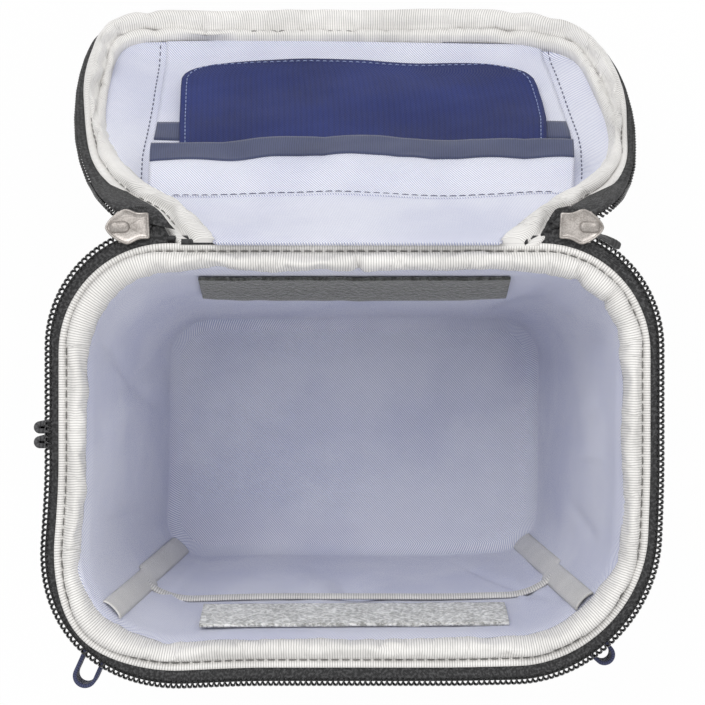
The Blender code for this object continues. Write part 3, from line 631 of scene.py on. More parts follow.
floor_swell = waves(ROUND_THE_BODY, 31, 2, 7)
for share in np.linspace(0.03, 1, 18)[:-1]:
    ring = lining_wall[0] * [share, share, 1.0]
    swell = FLOOR_SWELL * floor_swell * share * math.sin(math.pi * share)
    ring[:, 2] += FLOOR_CROWN * (1 - share ** 2) ** 2 + swell
    floor_rings.append(ring)
outer_rings = []
for level in np.linspace(WALL_TOP + FOAM_LIP, FLOOR + EDGE_RADIUS, 20):
    outer_rings.append(at_level(wall_ring(min(level, WALL_TOP), FOAM_OUTSIDE + SHELL_SAG * 0.5), level))
for angle in edge_turn[::-1]:
    edge_in = FOAM_OUTSIDE + SHELL_SAG * 0.5 + (EDGE_RADIUS - FOAM_OUTSIDE) * (1 - math.sin(angle))
    level = FLOOR + FOAM_OUTSIDE + (EDGE_RADIUS - FOAM_OUTSIDE) * (1 - math.cos(angle))
    outer_rings.append(at_level(wall_ring(level, edge_in), level))
outer_rings = [corner_lean(ring) for ring in outer_rings]
outer_rings.append(outer_rings[-1] * [0.03, 0.03, 1.0])
lining_grid = np.concatenate([np.stack(floor_rings), lining_wall, np.stack(outer_rings)])
padded_lining = surface(
    "padded_lining", lining_grid, lavender, "bag", around=True, ends=True,
    chart=lining_grid[:len(floor_rings) + 1, :, :2],
)
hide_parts("body_lining", "foam_wall", "foam_base")

# Rim roll: warm grey ribbed tape folded over a cord of foam and sewn down outside it, so that a
# flat stitched edge lies next to the zip. It is pinched where the corner seams run under it.
ROLL_WIDTH = 9.4 * MM
SELVAGE = 2.7 * MM
ROLL_TOP = 153 * MM
ROLL_LOW = 144 * MM
SELVAGE_LEVEL = 148.9 * MM
ROLL_AROUND = 900
CORNER_PUSH_PLACE = np.array([-88.0, -55.0]) * MM
CORNER_PUSH = 2.3 * MM
CORNER_PUSH_REACH = 17 * MM
RIB_PITCH = 0.84
RIB_DEPTH = 0.14 * MM
PUFF_FRAMES = 20
PUFF_PRESSURE = 4.0
ROLL_STRETCH = 0.035
ROLL_CAP = 1.3 * MM
GROSGRAIN = linear(252, 250, 247)
# The rim roll's groove colour is painted shade between its ribs; the tape itself is the pale grey.
GROSGRAIN_GROOVE_SHADE = linear(124, 121, 118)
LIP_POINTS = 5
ROLL_SECTION_SHARES = np.array([
    (0.0, 0.0), (0.0, 0.86), (0.06, 1.0), (0.55, 1.06), (0.9, 0.86), (0.02, 0.42), (0.1, 0.74), (0.24, 0.93),
    (0.42, 1.0), (0.6, 0.985), (0.78, 0.86), (0.91, 0.66), (0.985, 0.42), (1.0, 0.18), (0.95, 0.0), (0.5, -0.02),
])
PINCH_NARROWING = 1.6 * MM
PINCH_LOWERING = 2.4 * MM
ROLL_PINCH_SHARES = (
    (0.318, 0.012, 1.0), (0.683, 0.012, 0.9), (0.998, 0.0024, 0.9), (0.075, 0.01, 0.5), (0.93, 0.012, 0.5),
    (0.40, 0.01, 0.35), (0.57, 0.012, 0.3), (0.2, 0.01, 0.3), (0.82, 0.01, 0.3), (0.870, 0.0035, 0.7),
    (0.844, 0.003, 0.8),
)
SLOW_WANDER = 0.85 * MM
FAST_WANDER = 0.3 * MM
BULGE_CORNERS = np.array([(-80, -54), (80, -54), (-82, 58), (83, 58)]) * MM
CORNER_BULGES = np.array([0.9, 1.5, 1.6, 1.4]) * MM
CORNER_BULGE_REACH = 21 * MM


def ribbed(name, light, groove, pitch, depth, fleck=0.25):
    """Ribbed tape: ribs lie across its length, each a half sine, with a warp thread between. The groove colour is
    painted shade in the hollows between the ribs and the warp threads.
    """
    finish = Finish(name, 0.75, Sheen_Weight=0.2, Sheen_Roughness=0.5)
    length, width = finish.cloth()
    drift = finish.noise(90.0, 1.0) * 0.35
    rib = ((length / pitch + drift) * math.pi).sine().size() ** 0.5
    warp = (width * (math.pi / 0.45)).sine().size()
    shade = finish.noise(45.0, 4.0).between(0.25, 0.75)
    finish.colour(finish.blend(rib * (1 - fleck) + shade * fleck * 0.7 + warp * fleck * 0.3, groove, light))
    finish.roughness(0.75 - rib * 0.1)
    finish.relief(rib * 0.85 + warp * 0.15, depth)
    return finish


def pinches(count, places):
    """Narrowing along a closed roll: a bell of given place, half width and strength for each pinch."""
    turn = np.linspace(0, 1, count, endpoint=False)
    total = np.zeros(count)
    for place, width, strength in places:
        total += strength * bell(((turn - place + 0.5) % 1.0 - 0.5) / width)
    return np.clip(total, 0, 1)


def roll_section(squeeze, wander):
    """Section of the rim's roll as (inwards, level) for each place along it: a flat outer lip,
    a stitched groove, then a round crown that comes down on the lining. squeeze lowers and
    narrows the crown, wander moves its inner edge."""
    across, up = ROLL_SECTION_SHARES.T
    crown = ROLL_WIDTH - SELVAGE + wander - squeeze * PINCH_NARROWING
    crown_height = ROLL_TOP + np.zeros(len(squeeze)) - ROLL_LOW - squeeze * PINCH_LOWERING
    in_lip = np.arange(len(across)) < LIP_POINTS
    inwards = np.where(in_lip, SELVAGE * across, SELVAGE + crown[:, None] * across)
    level = ROLL_LOW + np.where(in_lip, SELVAGE_LEVEL - ROLL_LOW, crown_height[:, None]) * up
    return inwards, level


grosgrain = ribbed("pale_grosgrain_tape", GROSGRAIN, GROSGRAIN_GROOVE_SHADE, RIB_PITCH, RIB_DEPTH)
rim_ring = rounded(RIM_OUTLINE, 0, ROLL_AROUND)
rim_away = outward(rim_ring)
off_left = np.linalg.norm(rim_ring - CORNER_PUSH_PLACE, axis=1)
rim_ring = rim_ring + rim_away * (CORNER_PUSH * bell(off_left / CORNER_PUSH_REACH))[:, None]
squeeze = pinches(ROLL_AROUND, ROLL_PINCH_SHARES) + 0.10 * (1 + waves(ROLL_AROUND, 41, 12, 40))
wander = SLOW_WANDER * waves(ROLL_AROUND, 42, 3, 22) + FAST_WANDER * waves(ROLL_AROUND, 43, 30, 80)
for corner, bulge in zip(BULGE_CORNERS, CORNER_BULGES):
    wander = wander + bulge * bell(np.linalg.norm(rim_ring - corner, axis=1) / CORNER_BULGE_REACH)
inwards, level = roll_section(squeeze, wander)
roll_grid = np.empty((inwards.shape[1], ROLL_AROUND, 3))
roll_grid[..., :2] = rim_ring[None] - rim_away[None] * inwards.T[..., None]
roll_grid[..., 2] = level.T
roll_grid = corner_lean(roll_grid)
rim_roll = surface("rim_roll", roll_grid, grosgrain, "bag", around=True, along=True)


def puffed(piece, held, cap):
    """A stuffed piece settled by cloth simulation: its cover is cut a little larger than its
    shape and air presses it out, while the held points stay. No point moves past the cap."""
    trial = bpy.data.objects.new("trial", piece.data.copy())
    bpy.context.scene.collection.objects.link(trial)
    fixed = np.ones(len(trial.data.vertices), bool)
    fixed[:held.size] = held.ravel()
    trial.vertex_groups.new(name="held").add(np.flatnonzero(fixed).tolist(), 1.0, "REPLACE")
    cover = trial.modifiers.new("cover", "CLOTH").settings
    cover.use_pressure = True
    cover.uniform_pressure_force = PUFF_PRESSURE
    cover.effector_weights.gravity = 0.0
    cover.vertex_group_mass = "held"
    cover.shrink_min = -ROLL_STRETCH
    for frame in range(1, PUFF_FRAMES + 1):
        bpy.context.scene.frame_set(frame)
    settled = trial.evaluated_get(bpy.context.evaluated_depsgraph_get()).data
    before, after = (np.empty(len(fixed) * 3) for _ in range(2))
    piece.data.vertices.foreach_get("co", before)
    settled.vertices.foreach_get("co", after)
    move = (after - before).reshape(-1, 3)
    move *= np.minimum(1, cap / np.maximum(np.linalg.norm(move, axis=1, keepdims=True), 1e-9))
    piece.data.vertices.foreach_set("co", before + move.ravel())
    piece.data.update()
    bpy.data.objects.remove(trial)
    bpy.context.scene.frame_set(1)


loose_rows = np.zeros(roll_grid.shape[:2], bool)
loose_rows[6:14] = True
puffed(rim_roll, ~loose_rows, ROLL_CAP)
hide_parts("rim_binding")

# Stitches of the roll: grey thread that sinks between the ribs of the lip.
THREAD = 0.22 * MM
STRAND_DEPTH = 0.04 * MM
STITCH_SINK = 0.15 * MM
THREAD_GREY = linear(120, 118, 115)
STITCH_SHARES = np.array([
    (0.0, 0.35, -1.1), (0.12, 0.9, 0.2), (0.5, 1.0, 0.75), (0.88, 0.9, 0.2), (1.0, 0.35, -1.1),
])
UP = (0.0, 0.0, 1.0)
FORWARDS = (0.0, -1.0, 0.0)
REARWARDS = (0.0, 1.0, 0.0)
WEBBING_STITCH = 2.4 * MM
WEBBING_GAP = 0.8 * MM


def threads(name, run, up, finish, body, stitch=2.6 * MM, gap=0.9 * MM, radius=THREAD):
    """Running stitches along a line: each is a small six-sided bar, bowed up between its ends,
    made by carrying one section along the line's own directions for all stitches at once."""
    length = running_length(run)
    number = max(1, int(length[-1] / (stitch + gap)))
    start = np.arange(number) * (length[-1] / number)
    share, girth, bow = STITCH_SHARES.T
    centre = read_at(start[:, None] + share * stitch, length, run)
    rise = unit(np.broadcast_to(up, centre.shape))
    side = np.cross(unit(centre[:, -1:] - centre[:, :1]), rise)
    turn = np.linspace(0, 2 * np.pi, 6, endpoint=False)[:, None]
    ring = side[:, :, None] * np.cos(turn) + rise[:, :, None] * np.sin(turn)
    points = centre[:, :, None] + rise[:, :, None] * (bow * radius)[:, None, None]
    points = points + ring * (radius * girth)[:, None, None]
    first = (np.arange(number) * 30)[:, None, None]
    row, column = np.meshgrid(np.arange(4) * 6, np.arange(6), indexing="ij")
    after = (column + 1) % 6
    quad = np.stack([row + column, row + after, row + 6 + after, row + 6 + column], -1)
    quads = (first + quad.reshape(1, -1, 4)).reshape(-1, 4)
    ends = (first + [[5, 4, 3, 2, 1, 0], [24, 25, 26, 27, 28, 29]]).reshape(-1, 6)
    mesh = bpy.data.meshes.new(name)
    mesh.from_pydata(points.reshape(-1, 3).tolist(), [], quads[:, ::-1].tolist() + ends[:, ::-1].tolist())
    return put_in(name, mesh, finish, body)


def thread_finish(name, colour):
    """Twisted polyester thread: fine slanting strands and a soft shine."""
    finish = Finish(name, 0.5, Sheen_Weight=0.3)
    strand = finish.node(
        "ShaderNodeTexWave", {"bands_direction": "DIAGONAL"}, {"Vector": finish.place(), "Scale": 900.0}
    )
    finish.colour(finish.blend(strand, tuple(channel * 0.55 for channel in colour), colour))
    finish.relief(strand, STRAND_DEPTH)
    return finish


grey_thread = thread_finish("grey_thread", THREAD_GREY)
groove_line = corner_lean(at_level(rim_ring - rim_away * (SELVAGE * 0.98), SELVAGE_LEVEL - STITCH_SINK))
groove_line = np.concatenate([groove_line, groove_line[:1]])
threads("rim_roll_stitches", groove_line, UP, grey_thread, "bag")

# Body half of the zip: black woven tape sewn under the roll's lip, with a moulded coil along its
# edge. It runs from one rear corner round the front to the other.
ZIP_OUTLINE = np.array([102.1, 72.5, 79.7, 48, 40.6]) * MM
ZIP_LEVEL = 148 * MM
ZIP_END = 6
TAPE = 0.8 * MM
TAPE_TUCK = 1.2 * MM
TAPE_WAVE = 0.35 * MM
TAPE_DROP = 0.25 * MM
COIL_LIFT = 0.35 * MM
COIL_PITCH = 1.78 * MM
COIL_WIDTH = 2.5 * MM
COIL_HEIGHT = 2.1 * MM
COIL_WIRE = 0.33 * MM
COIL_HEAD = 0.1 * MM
COIL_SPREAD = 0.42 * MM
TURN_POINTS = 10
WIRE_SIDES = 6
TAPE_BLACK = linear(17, 17, 18)
TAPE_GREY = linear(92, 92, 93)


def tape_weave(name, dark, light, pitch):
    """Zip tape: a herringbone weave whose slant turns with every band along the tape's length."""
    finish = Finish(name, 0.7, Sheen_Weight=0.04, Specular_IOR_Level=0.3)
    across, along = finish.cloth()
    band = (along / (pitch * 2.4)).floor() % 2.0
    slant = along * (1 - band * 2) * 0.8
    rib = ((across + slant) / pitch * math.pi).sine().size()
    fleck = finish.noise(1100.0, 1.0).between(0.42, 0.66)
    finish.colour(finish.blend(rib * 0.35 + fleck * 0.5, dark, light))
    finish.relief(rib * 0.8 + fleck * 0.2, 0.15 * MM)
    return finish


def open_run(outline, inset, count):
    """The part of a rounded outline from just past the rear corner on the left, round the
    front, to the same on the right, evenly walked."""
    ring = rounded(outline, inset, 0)
    skip = int(round(ZIP_END / 90 * (CORNER_POINTS - 1)))
    return evenly(ring[1 + skip: len(ring) - 1 - skip], count)


def run_frame(run):
    """Directions out of an open anticlockwise run in plan."""
    along = np.gradient(run, axis=0)
    return unit(np.stack([along[:, 1], -along[:, 0]], -1))


def coil(name, run, away, up, body):
    """A zip coil: a wire wound round the run as a flattened helix. The wire swells at its outer
    edge into the heads that lock, so the angle round the turn also sets the wire's girth."""
    length = running_length(run)
    turns = int(length[-1] / COIL_PITCH)
    at = np.arange(turns * TURN_POINTS + 1) / TURN_POINTS
    angle = 2 * np.pi * at
    lag = 0.16 * np.sin(angle) * COIL_PITCH
    spot = np.clip(at * COIL_PITCH + lag, 0, length[-1])
    centre, out = read_at(spot, length, run), read_at(spot, length, away)
    rise = np.broadcast_to(up, centre.shape)
    along = np.cross(rise, out)
    reach = COIL_WIDTH / 2 - COIL_WIRE
    lift = COIL_HEIGHT / 2 - COIL_WIRE
    sideways, upwards = np.cos(angle), np.sin(angle)
    path = centre + out * (reach * sideways)[:, None] + rise * (lift * upwards)[:, None]
    normal = out * (sideways / reach)[:, None] + rise * (upwards / lift)[:, None]
    normal = unit(normal)
    girth = COIL_WIRE + COIL_HEAD * np.clip(sideways, 0, 1) ** 3
    turn = np.linspace(0, 2 * np.pi, WIRE_SIDES, endpoint=False)
    broad = girth + COIL_SPREAD * np.clip(sideways, 0, 1) ** 4
    ring = normal[:, None] * np.cos(turn)[None, :, None] * girth[:, None, None]
    ring = ring + along[:, None] * np.sin(turn)[None, :, None] * broad[:, None, None]
    return surface(name, path[:, None] + ring, coil_black, body, around=True, ends=True)


zip_tape = tape_weave("zip_tape_black", TAPE_BLACK, TAPE_GREY, 0.55)
coil_black = Finish("zip_coil_black", 0.24, Specular_IOR_Level=0.6, Coat_Weight=0.2, Coat_Roughness=0.15)
coil_wear = coil_black.noise(420.0, 2.0).between(0.5, 0.8)
coil_black.colour(coil_black.blend(coil_wear, linear(16, 16, 17), linear(52, 52, 54)))
coil_black.roughness(coil_wear * 0.2 + 0.2)

tape_count = 700
tape_in = open_run(RIM_OUTLINE, TAPE_TUCK, tape_count)
tape_out = open_run(ZIP_OUTLINE, COIL_WIDTH * 0.62, tape_count)
tape_shares = np.array([0.0, 0.25, 0.5, 0.75, 1.0])
tape_wave = TAPE_WAVE * waves(tape_count + 1, 51, 6, 26)
tape_flat = tape_in[None] + (tape_out - tape_in)[None] * tape_shares[:, None, None]
tape_level = ZIP_LEVEL - TAPE_DROP + tape_wave[None] * np.sin(np.pi * tape_shares)[:, None]
tape_grid = corner_lean(np.concatenate([tape_flat, tape_level[..., None]], -1))
body_tape = surface("body_tape", tape_grid, zip_tape, "bag", turned=True)
thicken(body_tape, TAPE, 0.0)
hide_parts("body_zip_tape")

coil_flat = open_run(ZIP_OUTLINE, COIL_WIDTH / 2, 1400)
coil_away = at_level(run_frame(coil_flat), 0)
body_coil = coil("body_coil", corner_lean(at_level(coil_flat, ZIP_LEVEL + COIL_LIFT)), coil_away, UP, "bag")
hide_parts("body_zip_chain")

# Lid: the same build as the body, but shallow: a domed nylon shell, foam, and a lavender lining.
# Places on it are (across, from the hinge, up when closed); it hangs open behind the rear wall.
HINGE = Vector((0.0, 75.3 * MM, 153 * MM))
LID_OPEN = math.radians(232)
LID_STEPS = 420
LID_OUTER = np.array([
    (-57.3, 1.4), (-59.8, 5.6), (-63.7, 11.9), (-66.7, 19.0), (-69.5, 22.4), (-74, 25.2), (-79.5, 29.8),
    (-84.4, 36.3), (-88.5, 45.0), (-91.6, 53.6), (-93.9, 67.3), (-95.6, 80), (-97.6, 96), (-97.9, 107),
    (-97.2, 116), (-95.8, 125.5), (-94.2, 133.5), (-91.0, 139.5), (-86.0, 143.2), (-79, 145.6), (-69.7, 146.2),
    (-54.4, 144.8), (-42.9, 145.2), (-19.3, 146.3), (0, 146), (10, 145.8), (24.4, 147.2), (47.3, 146.9),
    (58, 146.4), (67, 144.2), (75.6, 140.4), (82.8, 134.8), (88.4, 127.6), (92.4, 118.5), (94.8, 108),
    (96.6, 97), (97.0, 87), (96.2, 77), (95.4, 67), (94.8, 56.3), (93.2, 46.2), (90.0, 37.6), (85.8, 31.9),
    (81.2, 28.1), (77.1, 24.2), (73.4, 20.7), (70.6, 17.5), (68.0, 11.2), (64.0, 5.2), (60.4, 1.2),
]) * MM
LID_INNER = np.array([
    (-43.3, 1.4), (-46.6, 6.7), (-53.1, 16.6), (-58.2, 24.3), (-61.5, 28.8), (-66.9, 34.4), (-72.8, 40.8),
    (-77.1, 47.6), (-79.7, 52.7), (-81.3, 57.0), (-83.7, 61.8), (-86.1, 68.5), (-88.0, 77.7), (-88.5, 87),
    (-88.3, 98), (-88, 108), (-87.5, 118), (-85.8, 126.2), (-80.5, 130.6), (-70.8, 131.7), (-56, 131.6),
    (-42.3, 131.3), (-20, 131.2), (0, 131), (20, 130.9), (40, 130.6), (55, 130.2), (66, 129.0), (73.5, 126.4),
    (79.0, 121.6), (82.4, 114), (84.6, 104), (86.4, 94), (87.9, 84), (88.8, 74), (88.9, 65), (87.2, 56.5),
    (83.6, 48.0), (79.5, 41.6), (74.5, 35.9), (68.2, 30.1), (64.8, 25.2), (61.4, 20.2), (56.2, 14.4),
    (50.4, 7.8), (45.4, 1.2),
]) * MM
LID_BASE = 6.6 * MM
LID_CROWN = 0.3 * MM
FAR_CROWN = 3.6 * MM
LID_END_TUCK = 1.0 * MM
LID_END_STEPS = 5
FAR_FROM = 62 * MM
FAR_BLEND = 34 * MM
LID_PINCH_LOWERING = 1.7 * MM
LID_PINCH_SHARES = (
    (0.318, 0.008, 0.4), (0.345, 0.006, 0.8), (0.30, 0.007, 0.4), (0.635, 0.008, 0.7), (0.665, 0.008, 0.5),
    (0.245, 0.01, 0.4), (0.72, 0.009, 0.4), (0.075, 0.008, 0.5), (0.855, 0.012, 0.5), (0.93, 0.01, 0.4),
)
LID_SECTION_SHARES = np.array([
    (0.0, 0.0), (0.0, 0.5), (0.03, 0.58), (0.15, 0.6), (0.26, 0.5), (0.285, 0.36), (0.33, 0.68), (0.42, 0.9),
    (0.54, 0.99), (0.67, 1.0), (0.79, 0.92), (0.89, 0.74), (0.96, 0.5), (0.99, 0.24), (0.97, 0.0),
])


def lid_place(points):
    """From lid places to world places at rest: a turn of the closed lid about the hinge line."""
    across, out, up = points[..., 0], points[..., 1], points[..., 2]
    turn = -LID_OPEN
    return np.stack([
        across,
        HINGE.y - out * math.cos(turn) - up * math.sin(turn),
        HINGE.z - out * math.sin(turn) + up * math.cos(turn),
    ], -1)


def smooth_run(points, count, rounds=14):
    """A measured line walked evenly and rounded off: each point moves to the mean of its
    neighbours several times, with its ends held."""
    run = evenly(points, count)
    for _ in range(rounds):
        run[1:-1] = run[1:-1] * 0.5 + (run[:-2] + run[2:]) * 0.25
    return run


lid_outer = smooth_run(LID_OUTER, LID_STEPS)
lid_inner = smooth_run(LID_INNER, LID_STEPS)
far_share = soft_step((np.minimum(lid_outer[:, 1], lid_inner[:, 1]) - FAR_FROM) / FAR_BLEND)

turned_section = LID_SECTION_SHARES[::-1] * [-1, 1] + [1, 0]
blend = far_share[:, None]
section = LID_SECTION_SHARES[:, None] * (1 - blend) + turned_section[:, None] * blend
lid_squeeze = pinches(LID_STEPS + 1, LID_PINCH_SHARES) + 0.08 * (1 + waves(LID_STEPS + 1, 61, 14, 50))
crown = LID_CROWN - FAR_CROWN * far_share
crown = crown + LID_PINCH_LOWERING * lid_squeeze
from_end = np.minimum(np.arange(LID_STEPS + 1), np.arange(LID_STEPS + 1)[::-1])
crown = crown + LID_END_TUCK * np.clip(1 - from_end / LID_END_STEPS, 0, 1) ** 2
section_across = section[..., 0] + 0.02 * waves(LID_STEPS + 1, 62, 9, 40)[None] * (section[..., 1] > 0.6)
leg = lid_outer[None] + (lid_inner - lid_outer)[None] * section_across[..., None]
leg_height = LID_BASE - (LID_BASE - crown)[None] * section[..., 1]
lid_roll_grid = lid_place(np.concatenate([leg, leg_height[..., None]], -1))
lid_roll = surface(
    "lid_roll", lid_roll_grid.transpose(1, 0, 2), grosgrain, "lid",
    around=True, ends=True, long_rows=True,
)
loose_rows = np.zeros((LID_STEPS + 1, len(section)), bool)
loose_rows[8:-8, 6:-2] = True
puffed(lid_roll, ~loose_rows, ROLL_CAP)
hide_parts("lid_binding")

# Stitches of the lid's roll: outside it on the two legs, and inside it round the far half.
def line_between(share, height, keep):
    """The places along the lid's roll at a share of its width and a height, where keep holds."""
    line = lid_outer + (lid_inner - lid_outer) * np.asarray(share)[..., None]
    return lid_place(np.c_[line, np.broadcast_to(height, len(line))])[keep]


INTERIOR = lid_place(np.array([[0, 0, -1.0]]))[0] - lid_place(np.array([[0, 0, 0.0]]))[0]
half_way = LID_STEPS // 2
station = np.arange(LID_STEPS + 1)
for label, keep, share in (
    ("left", (far_share < 0.25) & (station < half_way) & (from_end > 2 * LID_END_STEPS), 0.275),
    ("right", (far_share < 0.25) & (station > half_way) & (from_end > 2 * LID_END_STEPS), 0.275),
    ("far", far_share > 0.8, 0.725),
):
    line = line_between(share, LID_BASE - 3.1 * MM - 1.2 * MM * far_share, keep)
    threads("lid_roll_stitches_" + label, line, INTERIOR, grey_thread, "lid")

# Lid half of the zip: woven tape sewn under the roll, with its coil on the outer face, so that from
# inside only the heads of the coil show past the tape's edge.
LID_EDGE = np.array([
    (-76.5, 15.0), (-81.1, 20.7), (-86.9, 30.0), (-91.5, 39.8), (-95.2, 52.5), (-97.9, 66.2), (-99.5, 80.3),
    (-100.4, 98), (-100.2, 110), (-99.4, 121), (-97.8, 131), (-94.6, 138.5), (-89, 143.8), (-80.5, 147),
    (-70, 147.8), (-35, 147.8), (0, 147.8), (35, 147.8), (60, 147.6), (72, 145.4), (81.5, 140.2), (88.6, 132.6),
    (93.6, 122.2), (96.6, 111), (98.4, 98.4), (99.2, 85.3), (99.2, 74.6), (98.4, 62.8), (97.0, 49.4), (94.6, 39.1),
    (90.0, 28.9), (85.1, 21.6), (80.5, 16.5),
]) * MM
LID_TAPE_LEVEL = 3.9 * MM
LID_COIL_LEVEL = 5.7 * MM
SLIDER_LEVEL = 148 * MM
RISE_FROM = 40 * MM
RISE_TO = 17 * MM


def rise_to_slider(points, place, level=SLIDER_LEVEL):
    """Lifts the tape's ends from the lid's plane to the zip slider, by a soft step of their
    place from the hinge; the weave is slack there and twists."""
    share = soft_step((RISE_FROM - place) / (RISE_FROM - RISE_TO))
    lifted = points.copy()
    lifted[..., 2] += (level - points[..., 2]) * share
    return lifted


lid_edge = smooth_run(LID_EDGE, LID_STEPS, 10)
edge_frame = -run_frame(lid_edge)
tape_seam = smooth_run(lid_outer[8:-8] + (lid_inner - lid_outer)[8:-8] * 0.2, LID_STEPS, 2)
tape_edge = lid_edge - edge_frame * COIL_WIDTH * 0.35
tape_shares = np.linspace(0, 1, 7)
lid_tape_flat = tape_seam[None] + (tape_edge - tape_seam)[None] * tape_shares[:, None, None]
lid_tape_wave = 0.5 * MM * np.sin(np.pi * tape_shares)[:, None] * waves(LID_STEPS + 1, 71, 5, 22)
lid_tape_height = LID_TAPE_LEVEL + lid_tape_wave
lid_tape_points = lid_place(np.concatenate([lid_tape_flat, lid_tape_height[..., None]], -1))
lid_tape_points = rise_to_slider(lid_tape_points, lid_edge[None, :, 1] + np.zeros((7, 1)))
lid_tape = surface("lid_tape", lid_tape_points, zip_tape, "lid")
thicken(lid_tape, TAPE, 0.0)
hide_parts("lid_zip_tape")

coil_line = smooth_run(LID_EDGE, 1200, 20)
coil_side = -run_frame(coil_line)
coil_place = coil_line - coil_side * COIL_WIDTH / 2
lid_coil_run = lid_place(at_level(coil_place, LID_COIL_LEVEL))
lid_coil_run = rise_to_slider(lid_coil_run, coil_line[:, 1], SLIDER_LEVEL - 1.4 * MM)
lid_coil_away = lid_place(at_level(coil_side, 0)) - lid_place(np.zeros((1, 3)))
lid_coil = coil("lid_coil", lid_coil_run, lid_coil_away, INTERIOR, "lid")
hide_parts("lid_zip_chain")

# Lid shell: the same black nylon, pulled over the foam into a low dome with a soft edge.
LID_SHELL_RIM = 7.0 * MM
LID_DOME = 21.6 * MM
DOME_NEAR = 9.5 * MM
DOME_NEAR_RUN = 36 * MM
DOME_SIDE = 14 * MM
DOME_SWELL = 0.5 * MM
DOME_MIDDLE = 96 * MM
DOME_CROWN = 0.7 * MM
LID_WIDEST = 80 * MM
LID_LENGTH = 148 * MM
LID_HALF = 97 * MM

near_line = np.linspace(lid_outer[-1], lid_outer[0], 60)[1:-1]
lid_base_ring = np.concatenate([lid_outer, near_line])[::-1]


def dome_ring(angle):
    """The lid's outline at an angle round its soft edge: it draws in by the sideways run times
    one less the cosine, and its hinge side by the near run times the sine."""
    draw_in = DOME_SIDE * (1 - math.cos(angle))
    near = DOME_NEAR + DOME_NEAR_RUN * math.sin(angle)
    x = lid_base_ring[:, 0] * (1 - draw_in / LID_HALF)
    t = lid_base_ring[:, 1]
    short = near + t * (LID_WIDEST - near) / LID_WIDEST
    long = LID_WIDEST + (t - LID_WIDEST) * (1 - draw_in / (LID_LENGTH - LID_WIDEST))
    out = np.where(t < LID_WIDEST, short, long)
    height = LID_SHELL_RIM + (LID_DOME - LID_SHELL_RIM) * math.sin(angle) ** 0.9
    return np.c_[x, out, np.full(len(x), height)]


dome_rings = [dome_ring(angle) for angle in np.linspace(0, np.pi / 2, 14)]
dome_top = dome_rings[-1]
dome_middle = np.array([0.0, DOME_MIDDLE, 0.0])
for share in np.linspace(1, 0.03, 16)[1:]:
    ring = dome_middle + (dome_top - dome_middle) * [share, share, 1.0]
    ring[:, 2] = LID_DOME + DOME_CROWN * (1 - share ** 2)
    dome_rings.append(ring)
dome_grid = np.stack(dome_rings)
dome_wave = np.stack([waves(len(lid_base_ring), seed, 2, 10) for seed in (81, 82)])
dome_share = np.linspace(0, 1, len(dome_rings))[:, None]
dome_wave = dome_wave[0] * (1 - dome_share) + dome_wave[1] * dome_share
dome_grid[..., 2] += DOME_SWELL * np.sin(np.pi * dome_share) * dome_wave
lid_shell = surface(
    "lid_nylon_shell", lid_place(dome_grid), nylon, "lid", around=True, ends="last",
    chart=dome_grid[..., :2],
)
thicken(lid_shell, SHELL)
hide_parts("lid_shell")

# Lid padding: lavender twill over foam. Its middle is flat, two lens-shaped gussets rise from the
# panel's side seams to the roll, and towards the hinge it bends up to the body's rim.
PANEL_LEVEL = 8.3 * MM
GUSSET_EDGE_LEVEL = 4.4 * MM
HINGE_LEVEL = 2.3 * MM
PADDING_PLACES = np.array([0, 9.5, 27, 45, 121, 134.5]) * MM
PADDING_DEPTHS = np.array([3.2, 5.4, 12.4, 19.4, 19.4, 17.5]) * MM
SEAM_LEFT = np.array([
    (-2, -66), (20, -69), (34, -70.6), (58, -71.5), (94, -70), (122, -69.6), (140, -69.4),
]) * MM
SEAM_RIGHT = np.array([
    (-2, 66), (20, 71), (34, 74.8), (50, 76.3), (63, 76.9), (71, 76.6), (84, 75.2), (95, 74.0), (111, 71.7),
    (124, 69.9), (138, 67.8),
]) * MM
BEND_END = 36 * MM
LINING_WRINKLE = 1.15 * MM
WRINKLE_LENGTH = 52 * MM
WRINKLE_FROM = 30 * MM
WRINKLE_END = 12 * MM
UNDER_ROLL = 3.2 * MM
SEAM_UNDER_ROLL = 2.5 * MM
THINNEST_FOAM = 0.8 * MM
FAR_BEND = 121 * MM
FAR_END = 134.5 * MM


def roll_edge(place, side):
    """How far across the roll's inner edge is at a place from the hinge, by interpolation along
    the left or right half of its measured line."""
    half = lid_inner[: LID_STEPS // 2] if side < 0 else lid_inner[LID_STEPS // 2 + 1:][::-1]
    grown = np.maximum.accumulate(half[:, 1] + np.arange(len(half)) * 1e-9)
    return np.interp(place, grown, half[:, 0])


def seam_place(place, side):
    line = SEAM_LEFT if side < 0 else SEAM_RIGHT
    seam = np.interp(place, line[:, 0], line[:, 1])
    edge = roll_edge(place, side) + side * SEAM_UNDER_ROLL
    return np.clip(seam, edge, 0) if side < 0 else np.clip(seam, 0, edge)


def panel_level(x, t):
    """Height of the lining: flat in the middle, a soft step up across each gusset, and a soft
    step at the hinge and at the far edge."""
    level = HINGE_LEVEL + (PANEL_LEVEL - HINGE_LEVEL) * soft_step(t / BEND_END) ** 0.8
    level = level - (PANEL_LEVEL - GUSSET_EDGE_LEVEL) * soft_step((t - FAR_BEND) / (FAR_END - FAR_BEND))
    for side in (-1, 1):
        seam, edge = seam_place(t, side), roll_edge(t, side) + side * 3 * MM
        across = np.clip((x - seam) / (edge - seam), 0, 1)
        level = level - (level - GUSSET_EDGE_LEVEL) * soft_step(across) * np.clip(t / BEND_END, 0, 1)
    return level


